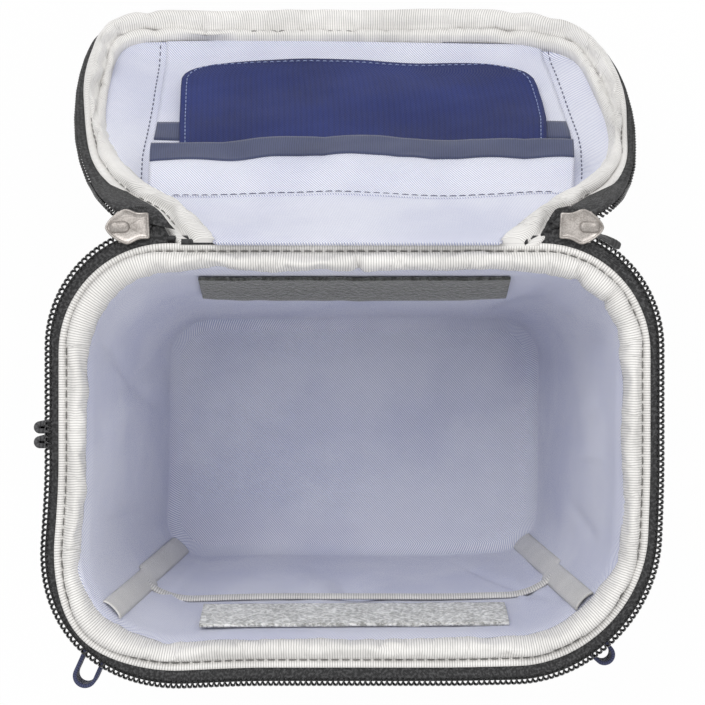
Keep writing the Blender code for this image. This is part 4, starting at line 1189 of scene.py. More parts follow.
def wrinkles(x, t, seed, reach, size):
    """Slack cloth: a sum of slanted sine ridges, each sharpened by its square, of random
    direction and length around a given size."""
    chance = np.random.default_rng(seed)
    total = np.zeros(np.broadcast(x, t).shape)
    ranges = ((0, np.pi), (0.7, 2.2), (0, 6.28), (0.4, 1))
    for angle, length, start, strength in zip(*(chance.uniform(*ends, 7) for ends in ranges)):
        wave = np.sin((x * math.cos(angle) + t * math.sin(angle)) * (2 * np.pi / (length * size)) + start)
        total += strength * (np.abs(wave) ** 1.6 * np.sign(wave))
    return reach * total / 3.5


def lining_level(x, t):
    """The lining with its soft wrinkles, which die away at the hinge and at the far edge."""
    calm = soft_step(t / WRINKLE_FROM) * soft_step((FAR_END - t) / WRINKLE_END)
    return panel_level(x, t) + wrinkles(x, t, 92, LINING_WRINKLE, WRINKLE_LENGTH) * calm


shares_across = np.linspace(0, 1, 97)
front_places = np.linspace(-0.6 * MM, FAR_END, 110)
left_edge = roll_edge(front_places, -1) - UNDER_ROLL
right_edge = roll_edge(front_places, 1) + UNDER_ROLL
front_x = left_edge + (right_edge - left_edge) * shares_across[:, None]
front_t = np.broadcast_to(front_places, front_x.shape)
front_h = lining_level(front_x, front_t)
front = np.stack([front_x, front_t, front_h], -1)
across = np.abs(shares_across[:, None] * 2 - 1) ** 8
back_deep = np.interp(front_t, PADDING_PLACES, PADDING_DEPTHS)
back_h = front_h + THINNEST_FOAM + (back_deep - front_h - THINNEST_FOAM) * (1 - across)
back = np.stack([front_x * 0.97, front_t, np.maximum(back_h, front_h + THINNEST_FOAM)], -1)
padding_grid = np.concatenate([front, back[::-1]], 0).transpose(1, 0, 2)
lid_padding = surface(
    "lid_padding", lid_place(padding_grid), lavender, "lid", around=True, ends=True,
    chart=padding_grid[..., :2],
)
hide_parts("lid_lining", "lid_foam")

# Middle panel of the lid: one flat sheet of the twill, folded under along both side seams.
PANEL_LIFT = 0.9 * MM
CLOTH = 0.7 * MM


def sewn_cloth(points):
    """Takes the grid of a piece cut from flat cloth and works out the diagonals of its quads; nothing is kept or
    returned."""
    first = points[1:, 1:] - points[:-1, :-1]
    second = points[1:, :-1] - points[:-1, 1:]


def lid_sheet(name, places, inset, height, finish, thickness=CLOTH):
    """A sheet on the lid between the two side seams, at a height worked out from its own grid;
    its face is towards the inside of the lid."""
    share = np.linspace(0, 1, 80)
    left, right = seam_place(places, -1) + inset, seam_place(places, 1) - inset
    x = left[:, None] + (right - left)[:, None] * share
    t = np.broadcast_to(places[:, None], x.shape)
    grid = np.stack([x, t, height(x, t)], -1)
    piece = thicken(surface(name, lid_place(grid), finish, "lid", chart=grid[..., :2]), thickness)
    if thickness <= CLOTH:
        sewn_cloth(grid)
    return piece


panel_places = np.linspace(-1.4 * MM, FAR_END - 0.4 * MM, 90)
lid_sheet(
    "lid_panel", panel_places, 0.0, lambda x, t: lining_level(x, t) - PANEL_LIFT, lavender,
)

# Two flat pockets on the panel, one over the other, each with blue-grey ribbed tape folded over its
# mouth. The front one is slack and crumples where the card is tucked in.
POCKET_BOTTOM = 34 * MM
REAR_MOUTH = 78.3 * MM
BAND_WIDE = 11.2 * MM
BAND_PAST = 0.3 * MM
BAND_LIFT = 0.6 * MM
BAND_THICKNESS = 1.2 * MM
BAND_RIBS = 0.16 * MM
POCKET_CLOTH = 0.5 * MM
POCKET_RISE = 16 * MM
CRUMPLE_LENGTH = 34 * MM
REAR_INSET = 0.8 * MM
REAR_LIFT = 0.9 * MM
REAR_SLACK = 0.15 * MM
FRONT_INSET = 0.6 * MM
FRONT_LIFT = 3.3 * MM
FRONT_SLACK = 1.6 * MM
FRONT_MOUTH = 60.6
MOUTH_BOW = 3.4
MOUTH_SAG = 0.6
BAND_BLUE = linear(74, 82, 116)
# The pocket tape's groove colour is painted shade between its ribs, not a second colour of the tape.
BAND_GROOVE_SHADE = linear(18, 24, 52)
blue_band = ribbed("blue_grosgrain_tape", BAND_BLUE, BAND_GROOVE_SHADE, 0.8, BAND_RIBS, fleck=0.35)


def pocket_level(lift, slack, seed):
    """The height of a pocket's cloth: on the panel at its foot, lifted and crumpled above it."""
    def height(x, t):
        open_share = soft_step((t - POCKET_BOTTOM) / POCKET_RISE)
        crumple = wrinkles(x, t, seed, slack, CRUMPLE_LENGTH) * (0.1 + 0.9 * open_share)
        return lining_level(x, t) - PANEL_LIFT - lift * (0.12 + 0.88 * open_share) - np.abs(crumple)
    return height


rear_places = np.linspace(POCKET_BOTTOM, REAR_MOUTH, 40)
pocket_rear = lid_sheet(
    "pocket_rear_cloth", rear_places, REAR_INSET, pocket_level(REAR_LIFT, REAR_SLACK, 93), lavender,
    thickness=POCKET_CLOTH,
)
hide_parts("pocket_rear")
band_places = np.linspace(REAR_MOUTH - BAND_WIDE, REAR_MOUTH + BAND_PAST, 9)
band_level = pocket_level(REAR_LIFT + BAND_LIFT, REAR_SLACK, 93)
band_rear = lid_sheet(
    "pocket_rear_tape", band_places, REAR_INSET, band_level, blue_band,
    thickness=BAND_THICKNESS,
)
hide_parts("pocket_band_rear")


def front_mouth(share):
    """The slack mouth of the front pocket: it sags at its right end and bows a little between."""
    return (FRONT_MOUTH + MOUTH_BOW * np.sin(np.pi * share) ** 0.7 + MOUTH_SAG * share) * MM


def front_grid(low_share, high_share, rows, height):
    """Places on the front pocket between two shares of its depth, from its foot to its mouth."""
    share = np.linspace(0, 1, 120)
    depth = np.linspace(low_share, high_share, rows)[:, None]
    t = POCKET_BOTTOM + (front_mouth(share) - POCKET_BOTTOM) * depth
    left, right = seam_place(t, -1) + FRONT_INSET, seam_place(t, 1) - FRONT_INSET
    x = left + (right - left) * share
    return np.stack([x, t, height(x, t)], -1)


band_share = 1 - 11 / 29
slack_cloth = front_grid(0.0, 0.97, 44, pocket_level(FRONT_LIFT, FRONT_SLACK, 94))
front_cloth = surface(
    "pocket_front_cloth", lid_place(slack_cloth), lavender, "lid",
    chart=slack_cloth[..., :2],
)
thicken(front_cloth, POCKET_CLOTH)
sewn_cloth(slack_cloth)
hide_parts("pocket_front")
front_band_grid = front_grid(band_share, 1.0, 12, pocket_level(FRONT_LIFT + BAND_LIFT, FRONT_SLACK, 94))
front_band = surface("pocket_front_tape", lid_place(front_band_grid), blue_band, "lid")
thicken(front_band, BAND_THICKNESS)
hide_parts("pocket_band_front")

# Navy woven flap that stands out of the front pocket and folds on its lower edge; its edge is
# turned in and stitched with pale blue thread.
FLAP_LEFT = np.array([
    (60.6, -61), (78, -61.9), (100, -62.6), (106, -62.6), (109.5, -61.4), (112.4, -58.8), (114.6, -54.4),
    (115.8, -49.6), (116.6, -43),
]) * MM
FLAP_RIGHT = np.array([
    (60.6, 67), (78, 67.9), (90, 67.4), (101, 66), (105.5, 64.9), (109, 62.4), (112, 57.6), (114.2, 51.6),
    (115.6, 46.6), (116.6, 41),
]) * MM
FLAP_FOOT = 60.6 * MM
FLAP_TOP = 116.6 * MM
FLAP_BOW = 0.9 * MM
FLAP_BOW_RUN = 56 * MM
FLAP_LIFT = 0.8 * MM
FLAP_LIFT_RUN = 40 * MM
FLAP_HEM = 2.0 * MM
FLAP_SEAT = 3.7 * MM
FLAP_THICKNESS = 1.2 * MM
NAVY = linear(36, 52, 122)
NAVY_DEEP = linear(11, 19, 62)
navy = Finish("navy_weave_cloth", 0.65, Sheen_Weight=0.06, Specular_IOR_Level=0.3)
navy_across, navy_along = navy.cloth()
navy_weave = plain_weave(navy_across, navy_along, 0.55)
navy_rib = (navy_across * (math.pi / 1.9)).sine().size()
navy_shade = navy.noise(30.0, 4.0).between(0.3, 0.72)
navy.colour(navy.blend(navy_weave * 0.45 + navy_rib * 0.2 + navy_shade * 0.35, NAVY_DEEP, NAVY))
navy.relief(navy_weave * 0.7 + navy_rib * 0.3, 0.14 * MM)


def flap_grid(inset=0.0):
    """The flap's places: its side lines are read at each place, and its far edge is rounded."""
    t = np.linspace(FLAP_FOOT, FLAP_TOP - inset, 46)[:, None]
    share = np.linspace(0, 1, 80)
    left = np.interp(t, FLAP_LEFT[:, 0], FLAP_LEFT[:, 1]) + inset
    right = np.interp(t, FLAP_RIGHT[:, 0], FLAP_RIGHT[:, 1]) - inset
    x = left + (right - left) * share
    t = t + FLAP_BOW * np.sin(np.pi * share) * ((t - FLAP_FOOT) / FLAP_BOW_RUN) ** 2
    lift = FLAP_LIFT * np.sin(np.pi * share) * soft_step((t - FLAP_FOOT) / FLAP_LIFT_RUN)
    h = lining_level(x, np.minimum(t, FLAP_TOP)) - FLAP_SEAT - lift
    return np.stack([x, t, h], -1)


card_flap = surface("navy_card_flap", lid_place(flap_grid()), navy, "card_flap")
thicken(card_flap, FLAP_THICKNESS)
sewn_cloth(flap_grid())
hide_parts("card_flap")
flap_inside = flap_grid(FLAP_HEM)
flap_line = np.concatenate([flap_inside[:, 0], flap_inside[-1, 1:-1], flap_inside[::-1, -1]])
flap_line[:, 2] -= STITCH_SINK
pale_thread = thread_finish("pale_blue_thread", linear(150, 166, 214))
flap_line = lid_place(flap_line)
threads(
    "card_flap_stitches", flap_line, INTERIOR, pale_thread, "card_flap",
    stitch=1.5 * MM, gap=0.9 * MM, radius=0.18 * MM,
)

# Stitches of the panel: dark rows beside its two seams, and a fine row along the pockets' foot.
plum_thread = thread_finish("dark_lavender_thread", linear(86, 90, 120))
for label, side, ends in (("left", -1, (42, 132)), ("right", 1, (44, 130))):
    t = np.linspace(*ends, 120) * MM
    x = seam_place(t, side) + side * 2.3 * MM
    line = lid_place(np.stack([x, t, lining_level(x, t) - 0.1 * MM], -1))
    threads(
        "gusset_stitches_" + label, line, INTERIOR, plum_thread, "lid",
        stitch=1.7 * MM, gap=1.1 * MM, radius=0.24 * MM,
    )
foot_x = np.linspace(-62, 68, 160) * MM
foot_t = POCKET_BOTTOM + (0.3 + 0.9 * np.sin((foot_x / MM + 62) / 130 * np.pi)) * MM
foot_h = lining_level(foot_x, foot_t) - PANEL_LIFT - 0.6 * MM
foot_line = lid_place(np.stack([foot_x, foot_t, foot_h], -1))
threads(
    "pocket_foot_stitches", foot_line, INTERIOR, plum_thread, "lid",
    stitch=2.6 * MM, gap=0.6 * MM, radius=0.16 * MM,
)

# Cloth hinge: one strip of the shell's nylon, sewn to the rear wall under the roll and to the lid
# shell's near edge. It is made as it lies with the lid open and stays there.
HINGE_CLOTH_HALF = 57 * MM
HINGE_CLOTH_PATH = (
    ("body", 74.1, 135.0), ("body", 74.2, 141.0), ("body", 74.3, 146.0), ("body", 74.4, 149.2),
    ("lid", 1.4, 3.9),
)


def hinge_strip(path):
    """A strip across the bag that follows a path of (place from the rear, level)."""
    strip = np.empty((len(path), 90, 3))
    strip[..., 0] = np.linspace(-HINGE_CLOTH_HALF, HINGE_CLOTH_HALF, 90)
    strip[..., 1:] = path[:, None]
    return strip


hinge_path = np.array([(0, first, second) for _, first, second in HINGE_CLOTH_PATH]) * MM
rides_lid = np.array([rides == "lid" for rides, _, _ in HINGE_CLOTH_PATH])
hinge_path[rides_lid] = lid_place(hinge_path[rides_lid])
hinge_path = hinge_path[:, 1:]
hinge_line = smooth_run(hinge_path, 40, 1)
hinge_grid = hinge_strip(hinge_line)
hinge_cloth = surface("hinge_cloth", hinge_grid, nylon, None)
thicken(hinge_cloth, CLOTH, 0.0)
sewn_cloth(hinge_grid)
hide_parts("hinge_seam")
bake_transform(hinge_cloth)

# Wedge of the hinge: the same nylon on the lid's side, over the padding as far as the lid shell.
WEDGE_PATH = np.array([(1.4, 3.9), (3.1, 4.5), (6.2, 5.3), (9.3, 6.2), (12.0, 7.4)]) * MM
wedge_grid = lid_place(hinge_strip(smooth_run(WEDGE_PATH, 30, 2)))
hinge_wedge = surface("hinge_wedge", wedge_grid, nylon, "lid")
thicken(hinge_wedge, CLOTH, 0.0)
sewn_cloth(wedge_grid)
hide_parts("hinge_flap")

# Webs at the hinge's two ends: the closed ends of both zip tapes, lapped on a seam behind the
# slider and caught under the two rolls. They are made as they lie with the lid open.
WEB_BODY = np.array([
    (-75.0, 71.6, 147.7), (-70.6, 71.8, 147.8), (-66.0, 72.6, 148.0), (-63.6, 73.0, 148.0), (-61.6, 73.4, 148.0),
]) * MM
WEB_LID = np.array([
    (-76.6, 84.8, 147.4), (-70.8, 85.6, 146.6), (-66.4, 84.8, 146.0), (-64.0, 81.0, 146.4), (-61.4, 76.0, 147.4),
]) * MM
WEB_SEAM = 79.6 * MM
WEB_FOLD = 1.2 * MM
WEB_FOLD_REACH = 0.45 * MM
WEB_WAVE = 0.5 * MM
for label, sign in (("left", 1), ("right", -1)):
    low, high = smooth_run(WEB_BODY, 40, 4), smooth_run(WEB_LID, 40, 4)
    share = np.linspace(0, 1, 26)[:, None, None]
    web_grid = low + (high - low) * share
    web_grid[..., 2] += WEB_WAVE * np.sin(np.pi * share[..., 0]) * waves(41, 101, 1, 6)
    web_grid[..., 2] -= WEB_FOLD * bell((web_grid[..., 1] - WEB_SEAM) / WEB_FOLD_REACH)
    web_grid[..., 0] *= sign
    web = surface("hinge_web_" + label, web_grid, zip_tape, None, turned=sign < 0)
    thicken(web, TAPE, 0.0)
    sewn_cloth(web_grid)
    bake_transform(web)

# Zip sliders: die-cast nickel, a shield plate above and below the coil. The upper one has a raised
# rim round its face and a pressed pill over the nose; two ears below hold the pull's bar.
SLIDER_LENGTH = 14.6 * MM
SLIDER_WIDTH = 11.8 * MM
SLIDER_CENTRE = np.array([74.73, 78.65, 148.0]) * MM
SLIDER_TURN = 3.0
SLIDER_GAP = 1.6 * MM
PLATE = 1.0 * MM
FACE_RIM = 0.36 * MM
SHIELD_SHARES = np.array([
    (0.5, 0.0), (0.482, 0.08), (0.44, 0.16), (0.36, 0.265), (0.25, 0.37), (0.13, 0.455), (0.03, 0.5), (-0.06, 0.48),
    (-0.16, 0.415), (-0.24, 0.375), (-0.34, 0.362), (-0.46, 0.368), (-0.497, 0.355), (-0.5, 0.3), (-0.5, 0.0),
])
PILL_LENGTH = 6.8 * MM
PILL_WIDTH = 3.8 * MM
PILL_HEIGHT = 1.35 * MM
PILL_PLACE = 2.5 * MM
BAR_PLACE = 3.26 * MM
BAR_DROP = 5.7 * MM
NICKEL = linear(190, 184, 179)
NICKEL_WORN = linear(128, 122, 117)

nickel = Finish("worn_nickel", 0.34, Metallic=0.82)
cast = nickel.noise(260.0, 4.0).between(0.35, 0.7)
rubbed = nickel.noise(2200.0, 1.0).between(0.4, 0.6)
nickel.colour(nickel.blend(cast * 0.4 + rubbed * 0.35, NICKEL, NICKEL_WORN))
nickel.roughness(0.3 + cast * 0.2)
nickel.relief(cast * 0.3 + rubbed * 0.7, 0.015 * MM)


def shield(inset, scale=1.0):
    """The slider plate's outline in its own plane, drawn in along its normals by inset."""
    half = smooth_run(SHIELD_SHARES * [SLIDER_LENGTH, SLIDER_WIDTH], 60, 2)
    half[0, 1] = half[-1, 1] = 0.0
    ring = np.concatenate([half[:-1], (half * [1, -1])[::-1][:-1]])
    return (ring - outward(ring) * inset) * scale


def pill_ring(inset):
    half = PILL_WIDTH / 2 - inset
    reach = PILL_LENGTH / 2 - PILL_WIDTH / 2
    turn = np.linspace(-np.pi / 2, np.pi / 2, 15)
    nose = np.c_[reach + half * np.cos(turn), half * np.sin(turn)]
    return np.concatenate([nose, -nose]) + [PILL_PLACE, 0.0]


def seated(points, sign, turn=SLIDER_TURN):
    """Takes a slider's own places (towards its nose, outwards across it, up) to the world."""
    angle = math.radians(turn)
    nose = np.array([sign * math.cos(angle), -math.sin(angle), 0.0])
    across = np.array([sign * math.sin(angle), math.cos(angle), 0.0])
    centre = SLIDER_CENTRE * [sign, 1, 1]
    return centre + points[..., :1] * nose + points[..., 1:2] * across + points[..., 2:] * [0, 0, 1]


BLOCK_EDGE = 0.15 * MM
BAR_RADIUS = 0.7 * MM
BAR_HALF = 2.4 * MM
NICKEL_OVERLAP = 0.3 * MM
NICKEL_WALL = 0.9 * MM
LIP_SLOT = 0.75 * MM
LIP_REAR = -1.2 * MM
LIP_FRONT = 3.2 * MM
LIP_EDGES = (("inner", -5.2 * MM), ("outer", 4.3 * MM))
EAR_EDGES = (("inner", -2.9 * MM), ("outer", 2.0 * MM))
EAR_HALF = 1.3 * MM
EAR_BELOW = 1.2 * MM


def lofted(name, rings, sign, body):
    """A closed nickel form through rings given as (outline, level), in a slider's own places."""
    grid = np.stack([np.c_[ring, np.full(len(ring), level)] for ring, level in rings])
    return surface(name, seated(grid, sign), nickel, body, around=True, ends=True)


def blocked(name, low, high, sign, body):
    """A small nickel block with softened upright edges, in a slider's own places."""
    low, high = np.array(low), np.array(high)
    soften = BLOCK_EDGE
    middle, half = (low + high)[:2] / 2, (high - low)[:2] / 2
    turn = np.radians(np.arange(0, 360, 15) + 7.5)
    square = np.sign(circle(turn)) * np.abs(circle(turn)) ** 0.35
    rings = [
        (middle + square * (half - inset), level)
        for inset, level in ((soften, low[2]), (0, low[2] + soften), (0, high[2] - soften), (soften, high[2]))
    ]
    return lofted(name, rings, sign, body)


for label, sign in SIDES:
    body = "slider_" + label
    top = SLIDER_GAP + PLATE
    upper = lofted("zip_slider_" + label, [
        (shield(0.5 * MM), SLIDER_GAP), (shield(0.12 * MM), SLIDER_GAP), (shield(0), SLIDER_GAP + 0.15 * MM),
        (shield(0), top - 0.1 * MM), (shield(0.1 * MM), top + FACE_RIM * 0.6), (shield(0.28 * MM), top + FACE_RIM),
        (shield(0.55 * MM), top + FACE_RIM * 0.95), (shield(0.78 * MM), top + FACE_RIM * 0.3), (shield(1.0 * MM), top),
        (shield(1.0 * MM, 0.8), top - 0.05 * MM), (shield(1.0 * MM, 0.4), top), (shield(1.0 * MM, 0.08), top),
    ], sign, body)
    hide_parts("slider_" + label)
    lofted("zip_slider_back_" + label, [
        (shield(0.4 * MM), -top), (shield(0.1 * MM), -top + 0.1 * MM), (shield(0), -top + 0.25 * MM),
        (shield(0), -SLIDER_GAP - 0.15 * MM), (shield(0.2 * MM), -SLIDER_GAP),
    ], sign, body)
    pill = [(pill_ring(0), top - 0.2 * MM)]
    for turn in np.linspace(0, np.pi / 2, 9):
        inset = PILL_WIDTH / 2 * 0.96 * (1 - math.cos(turn)) ** 1.1
        pill.append((pill_ring(inset), top + PILL_HEIGHT * math.sin(turn) ** 0.7))
    lofted("slider_pill_" + label, pill, sign, body)
    turn = np.radians(np.arange(0, 360, 30))
    around = circle(turn) * BAR_RADIUS
    post = around + [SLIDER_LENGTH * 0.3, 0]
    sunk = SLIDER_GAP + NICKEL_OVERLAP
    lofted("slider_post_" + label, [(post, -sunk), (post, sunk)], sign, body)
    for face, edge in LIP_EDGES:
        for level, low, high in (("upper", LIP_SLOT, sunk), ("lower", -sunk, -LIP_SLOT)):
            near, far = (LIP_REAR, edge, low), (LIP_FRONT, edge + NICKEL_WALL, high)
            blocked("slider_lip_" + face + "_" + level + "_" + label, near, far, sign, body)
    for face, edge in EAR_EDGES:
        near = (BAR_PLACE - EAR_HALF, edge, -BAR_DROP - EAR_BELOW)
        far = (BAR_PLACE + EAR_HALF, edge + NICKEL_WALL, -top + NICKEL_OVERLAP)
        blocked("slider_ear_" + face + "_" + label, near, far, sign, body)
    bar = np.stack([
        np.c_[BAR_PLACE + around[:, 0], np.full(12, across), -BAR_DROP + around[:, 1]]
        for across in (-BAR_HALF, BAR_HALF)
    ])
    surface("slider_bar_" + label, seated(bar, sign), nickel, body, around=True, ends=True)

# Cord pulls: a black braided cord doubled round the bar, with a moulded grip on its end. The right
# one has been tugged outwards and stays bent.
CORD_RADIUS = 1.1 * MM
PULL_LENGTH = 25 * MM
GRIP_START = 14.5 * MM
GRIP_HALF = np.array([2.1, 1.7]) * MM
PULL_BENDS = {"left": 0.0, "right": 12.5 * MM}
PULL_TURN = 18.5
CORD_BEND = 1.95 * MM
braid = Finish("black_braided_cord", 0.6, Sheen_Weight=0.2)
braid_around, braid_along = braid.cloth()
strand = plain_weave(braid_around + braid_along * 0.7, braid_along * 0.7 - braid_around, 0.6)
braid.colour(braid.blend(strand, linear(14, 14, 15), linear(58, 58, 60)))
braid.relief(strand, 0.12 * MM)
moulded = Finish("black_moulded_grip", 0.45)
moulded_grain = moulded.noise(500.0, 3.0).between(0.4, 0.7)
moulded.colour(moulded.blend(moulded_grain, linear(20, 20, 21), linear(40, 40, 42)))
moulded.relief(moulded.noise(900.0, 2.0), 0.03 * MM)


def bent(points, reach):
    """Bends a hanging pull nosewards: it swings out by reach at its end, by a power of its drop."""
    drop = np.clip(-BAR_DROP - points[..., 2], 0, None)
    share = drop / PULL_LENGTH
    swung = points.copy()
    swung[..., 0] += reach * share ** 1.3
    swung[..., 2] += reach * 0.32 * share ** 2
    return swung


for label, sign in SIDES:
    hang = np.linspace(-GRIP_START - 1.5 * MM, 0, 16)
    apart = CORD_BEND * np.clip(1.1 + hang / GRIP_START * 0.5, 0.6, 1)
    over = np.radians(np.linspace(180, 0, 13))
    path = np.concatenate([
        np.c_[BAR_PLACE - apart, -BAR_DROP + hang],
        np.c_[BAR_PLACE + np.cos(over) * CORD_BEND, -BAR_DROP + np.sin(over) * CORD_BEND][1:-1],
        np.c_[BAR_PLACE + apart, -BAR_DROP + hang][::-1],
    ])
    along = np.gradient(path, axis=0)
    along /= np.linalg.norm(along, axis=1, keepdims=True)
    turn = np.radians(np.arange(0, 360, 30))
    cord = np.empty((len(path), 12, 3))
    cord[..., 0] = path[:, None, 0] - along[:, None, 1] * np.cos(turn) * CORD_RADIUS
    cord[..., 2] = path[:, None, 1] + along[:, None, 0] * np.cos(turn) * CORD_RADIUS
    cord[..., 1] = np.sin(turn) * CORD_RADIUS
    cord = seated(bent(cord, PULL_BENDS[label]), sign, PULL_TURN)
    cord_pull = surface(
        "cord_pull_" + label, cord, braid, "pull_" + label, around=True, ends=True,
    )
    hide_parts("pull_" + label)
    grip_rings = []
    corner = np.sign(circle(turn)) * np.abs(circle(turn)) ** 0.5
    for share in np.linspace(0, 1, 24):
        waist = 0.8 + 0.2 * math.sin(math.pi * min(share * 1.2, 1)) ** 0.5
        size = waist * min(1, (1.02 - share) * 9) ** 0.5
        size *= 1 - 0.06 * (math.sin(share * 9 * math.pi) > 0.2)
        ring = corner * GRIP_HALF * size
        level = -BAR_DROP - GRIP_START - share * (PULL_LENGTH - GRIP_START)
        grip_rings.append(np.c_[ring[:, 0] + BAR_PLACE, ring[:, 1], np.full(12, level)])
    grip = seated(bent(np.stack(grip_rings), PULL_BENDS[label]), sign, PULL_TURN)
    surface("pull_grip_" + label, grip, moulded, "pull_" + label, around=True, ends=True)

# Hook-and-loop strips: pale loop pile on the front wall, and on the rear wall the same pile painted dark
# as shade; both sewn flat on the lining near its top; the stitches sink into the pile.
STRIP_HALF = 52 * MM
STRIP_DEPTH = 10.3 * MM
STRIP_THICKNESS = 1.1 * MM
STRIP_SKEW = 1.1 * MM
STRIPS = {"front": (108 * MM, 134 * MM), "rear": (114 * MM, 140 * MM)}


def loop_pile(name, light, dark):
    """Brushed loop pile: fine hooks of thread lie every way, so colour and height are speckled."""
    finish = Finish(name, 0.95, Sheen_Weight=0.5, Sheen_Roughness=0.6)
    hooks = finish.noise(900.0, 2.0).between(0.4, 0.6)
    tufts = finish.noise(420.0, 3.0).between(0.38, 0.62)
    brushed = finish.noise(60.0, 2.0).between(0.3, 0.7)
    finish.colour(finish.blend(hooks * 0.5 + tufts * 0.35 + brushed * 0.15, dark, light))
    finish.relief(hooks * 0.6 + tufts * 0.4, 0.5 * MM)
    return finish


pile_finishes = {
    "front": loop_pile("pale_loop_pile", linear(255, 255, 252), linear(142, 142, 138)),
    # The rear strip's pile colours are painted shade: it is the same pale pile as the front strip.
    "rear": loop_pile("loop_pile_painted_shade", linear(68, 71, 66), linear(12, 13, 12)),
}


def wall_face(face, x, level, depth):
    """Places on the flat front or rear wall at a depth in from the shell's outer face."""
    front, rear = (BASE_OUTLINE[row] + (RIM_OUTLINE[row] - BASE_OUTLINE[row]) * flare(level) for row in (1, 2))
    y = -(front - depth) if face == "front" else rear - depth
    return np.stack(np.broadcast_arrays(x, y, level), -1)


for face, (low, high) in STRIPS.items():
    x = np.linspace(-STRIP_HALF, STRIP_HALF, 120)
    skew = STRIP_SKEW * x / STRIP_HALF if face == "front" else 0.0
    level = np.linspace(low, high, 30)[:, None] - skew
    bulge = rear_bulge(x, level) if face == "rear" else 0.0
    lift = 0.35 * MM * waves(120, 111 if face == "front" else 112, 2, 12)
    worn = 0.25 * MM * np.sin(np.linspace(0, np.pi, 30))[:, None]
    strip_grid = wall_face(face, x, level, STRIP_DEPTH + STRIP_THICKNESS + lift * 0.5 + worn + bulge)
    strip = surface(face + "_loop_strip", strip_grid, pile_finishes[face], "bag", turned=face == "front")
    thicken(strip, STRIP_THICKNESS)
    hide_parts(face + "_grip_strip")

# Seam tapes of the lining: ribbed tape over the seams in the two front corners and across the
# front wall below the loop strip.
SEAM_TAPE_WIDTH = 8 * MM
SEAM_TAPE_DEPTH = 9.9 * MM
SEAM_TAPE_RISE = 1.3 * MM
SEAM_TAPE_LOW = 16 * MM
SEAM_TAPE_HIGH = 142.6 * MM
FRONT_SEAM_LEVEL = 95 * MM
# The seam tape's darker colour is painted shade between its ribs.
seam_tape = ribbed("pale_seam_tape", linear(236, 234, 230), linear(96, 96, 98), 0.85, 0.2 * MM)


def taped(name, grid, finish, away, node=None):
    """A tape laid on the lining: its middle stands proud by a shallow arch."""
    arch = np.sin(np.linspace(0, np.pi, grid.shape[1])) ** 0.6
    raised = grid + away * (SEAM_TAPE_RISE * arch)[:, None]
    tape = surface(name, raised, finish, "bag", long_rows=True, turned=False)
    thicken(tape, 0.6 * MM, 0.0)
    if node:
        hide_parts(node)
    return tape


levels = np.linspace(SEAM_TAPE_LOW, SEAM_TAPE_HIGH, 90)
for label, sign in SIDES:
    rows, inwards_rows = [], []
    for level in levels:
        ring = wall_ring(level, SEAM_TAPE_DEPTH)
        away = outward(ring)
        middle = int(np.argmax(away @ np.array([sign, -1.0])))
        span = np.roll(ring, len(ring) // 2 - middle, axis=0)[len(ring) // 2 - 30: len(ring) // 2 + 31]
        length = running_length(span)
        at = length[30] + np.linspace(-0.5, 0.5, 11) * SEAM_TAPE_WIDTH
        rows.append(at_level(read_at(at, length, span), level))
        inwards_rows.append(np.tile(np.append(-away[middle], 0), (11, 1)))
    away = np.stack(inwards_rows)
    node = "corner_binding_" + label
    taped("seam_tape_" + label, corner_lean(np.stack(rows)), seam_tape, away, node)
front_ring = wall_ring(FRONT_SEAM_LEVEL, SEAM_TAPE_DEPTH)
front_away = outward(front_ring)
front_part = (front_away[:, 1] < -0.7) & (front_ring[:, 1] < 0)
front_run = front_ring[front_part]
front_run = front_run[np.argsort(front_run[:, 0])]
front_run = smooth_run(front_run, 160, 1)
front_rows = np.empty((len(front_run), 11, 3))
tape_level = FRONT_SEAM_LEVEL + 0.8 * MM * waves(len(front_run), 121, 1, 5)
front_rows[..., :2] = front_run[:, None]
front_rows[..., 2] = tape_level[:, None] + np.linspace(-0.45, 0.45, 11) * SEAM_TAPE_WIDTH
front_inwards = np.zeros_like(front_rows)
front_frame = run_frame(front_run)
front_inwards[..., :2] = (front_frame * np.sign(front_frame[:, 1:]))[:, None]
taped("seam_tape_front", corner_lean(front_rows), seam_tape, front_inwards)

# Corner loops: navy ribbed tape folded into a round eye and sewn into the seam under the zip.
LOOP_LEVELS = np.linspace(131.8, 141.8, 12) * MM
LOOP_TAPE = 1.2 * MM
LOOPS = {
    "left": ((-87.2, -56.5), (-81.6, -61.0), (-89.5, -70.1), 3.5),
    "right": ((72.5, -58.0), (79.0, -52.5), (83.0, -63.0), 3.0),
}
# The loop tape's darker colour is painted shade between its ribs.
loop_tape = ribbed("navy_ribbed_tape", linear(62, 68, 104), linear(10, 11, 26), 0.8, 0.2 * MM, fleck=0.2)
for label, places in LOOPS.items():
    root_a, root_b, middle = np.array(places[:3]) * MM
    radius = places[3] * MM
    outwards = middle - (root_a + root_b) / 2
    facing = math.atan2(outwards[1], outwards[0])
    turn = facing + np.radians(np.linspace(-98, 98, 24))
    eye = middle + radius * circle(turn)
    plan = np.concatenate([np.linspace(root_a, eye[0], 7)[:-1], eye, np.linspace(eye[-1], root_b, 7)[1:]])
    plan = smooth_run(plan, 70, 2)
    grid = np.empty((len(plan), len(LOOP_LEVELS), 3))
    grid[..., :2] = plan[:, None]
    grid[..., 2] = LOOP_LEVELS
    loop = surface("navy_loop_" + label, grid, loop_tape, "bag", long_rows=True)
    thicken(loop, LOOP_TAPE, 0.0)
    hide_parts("corner_loop_" + label)

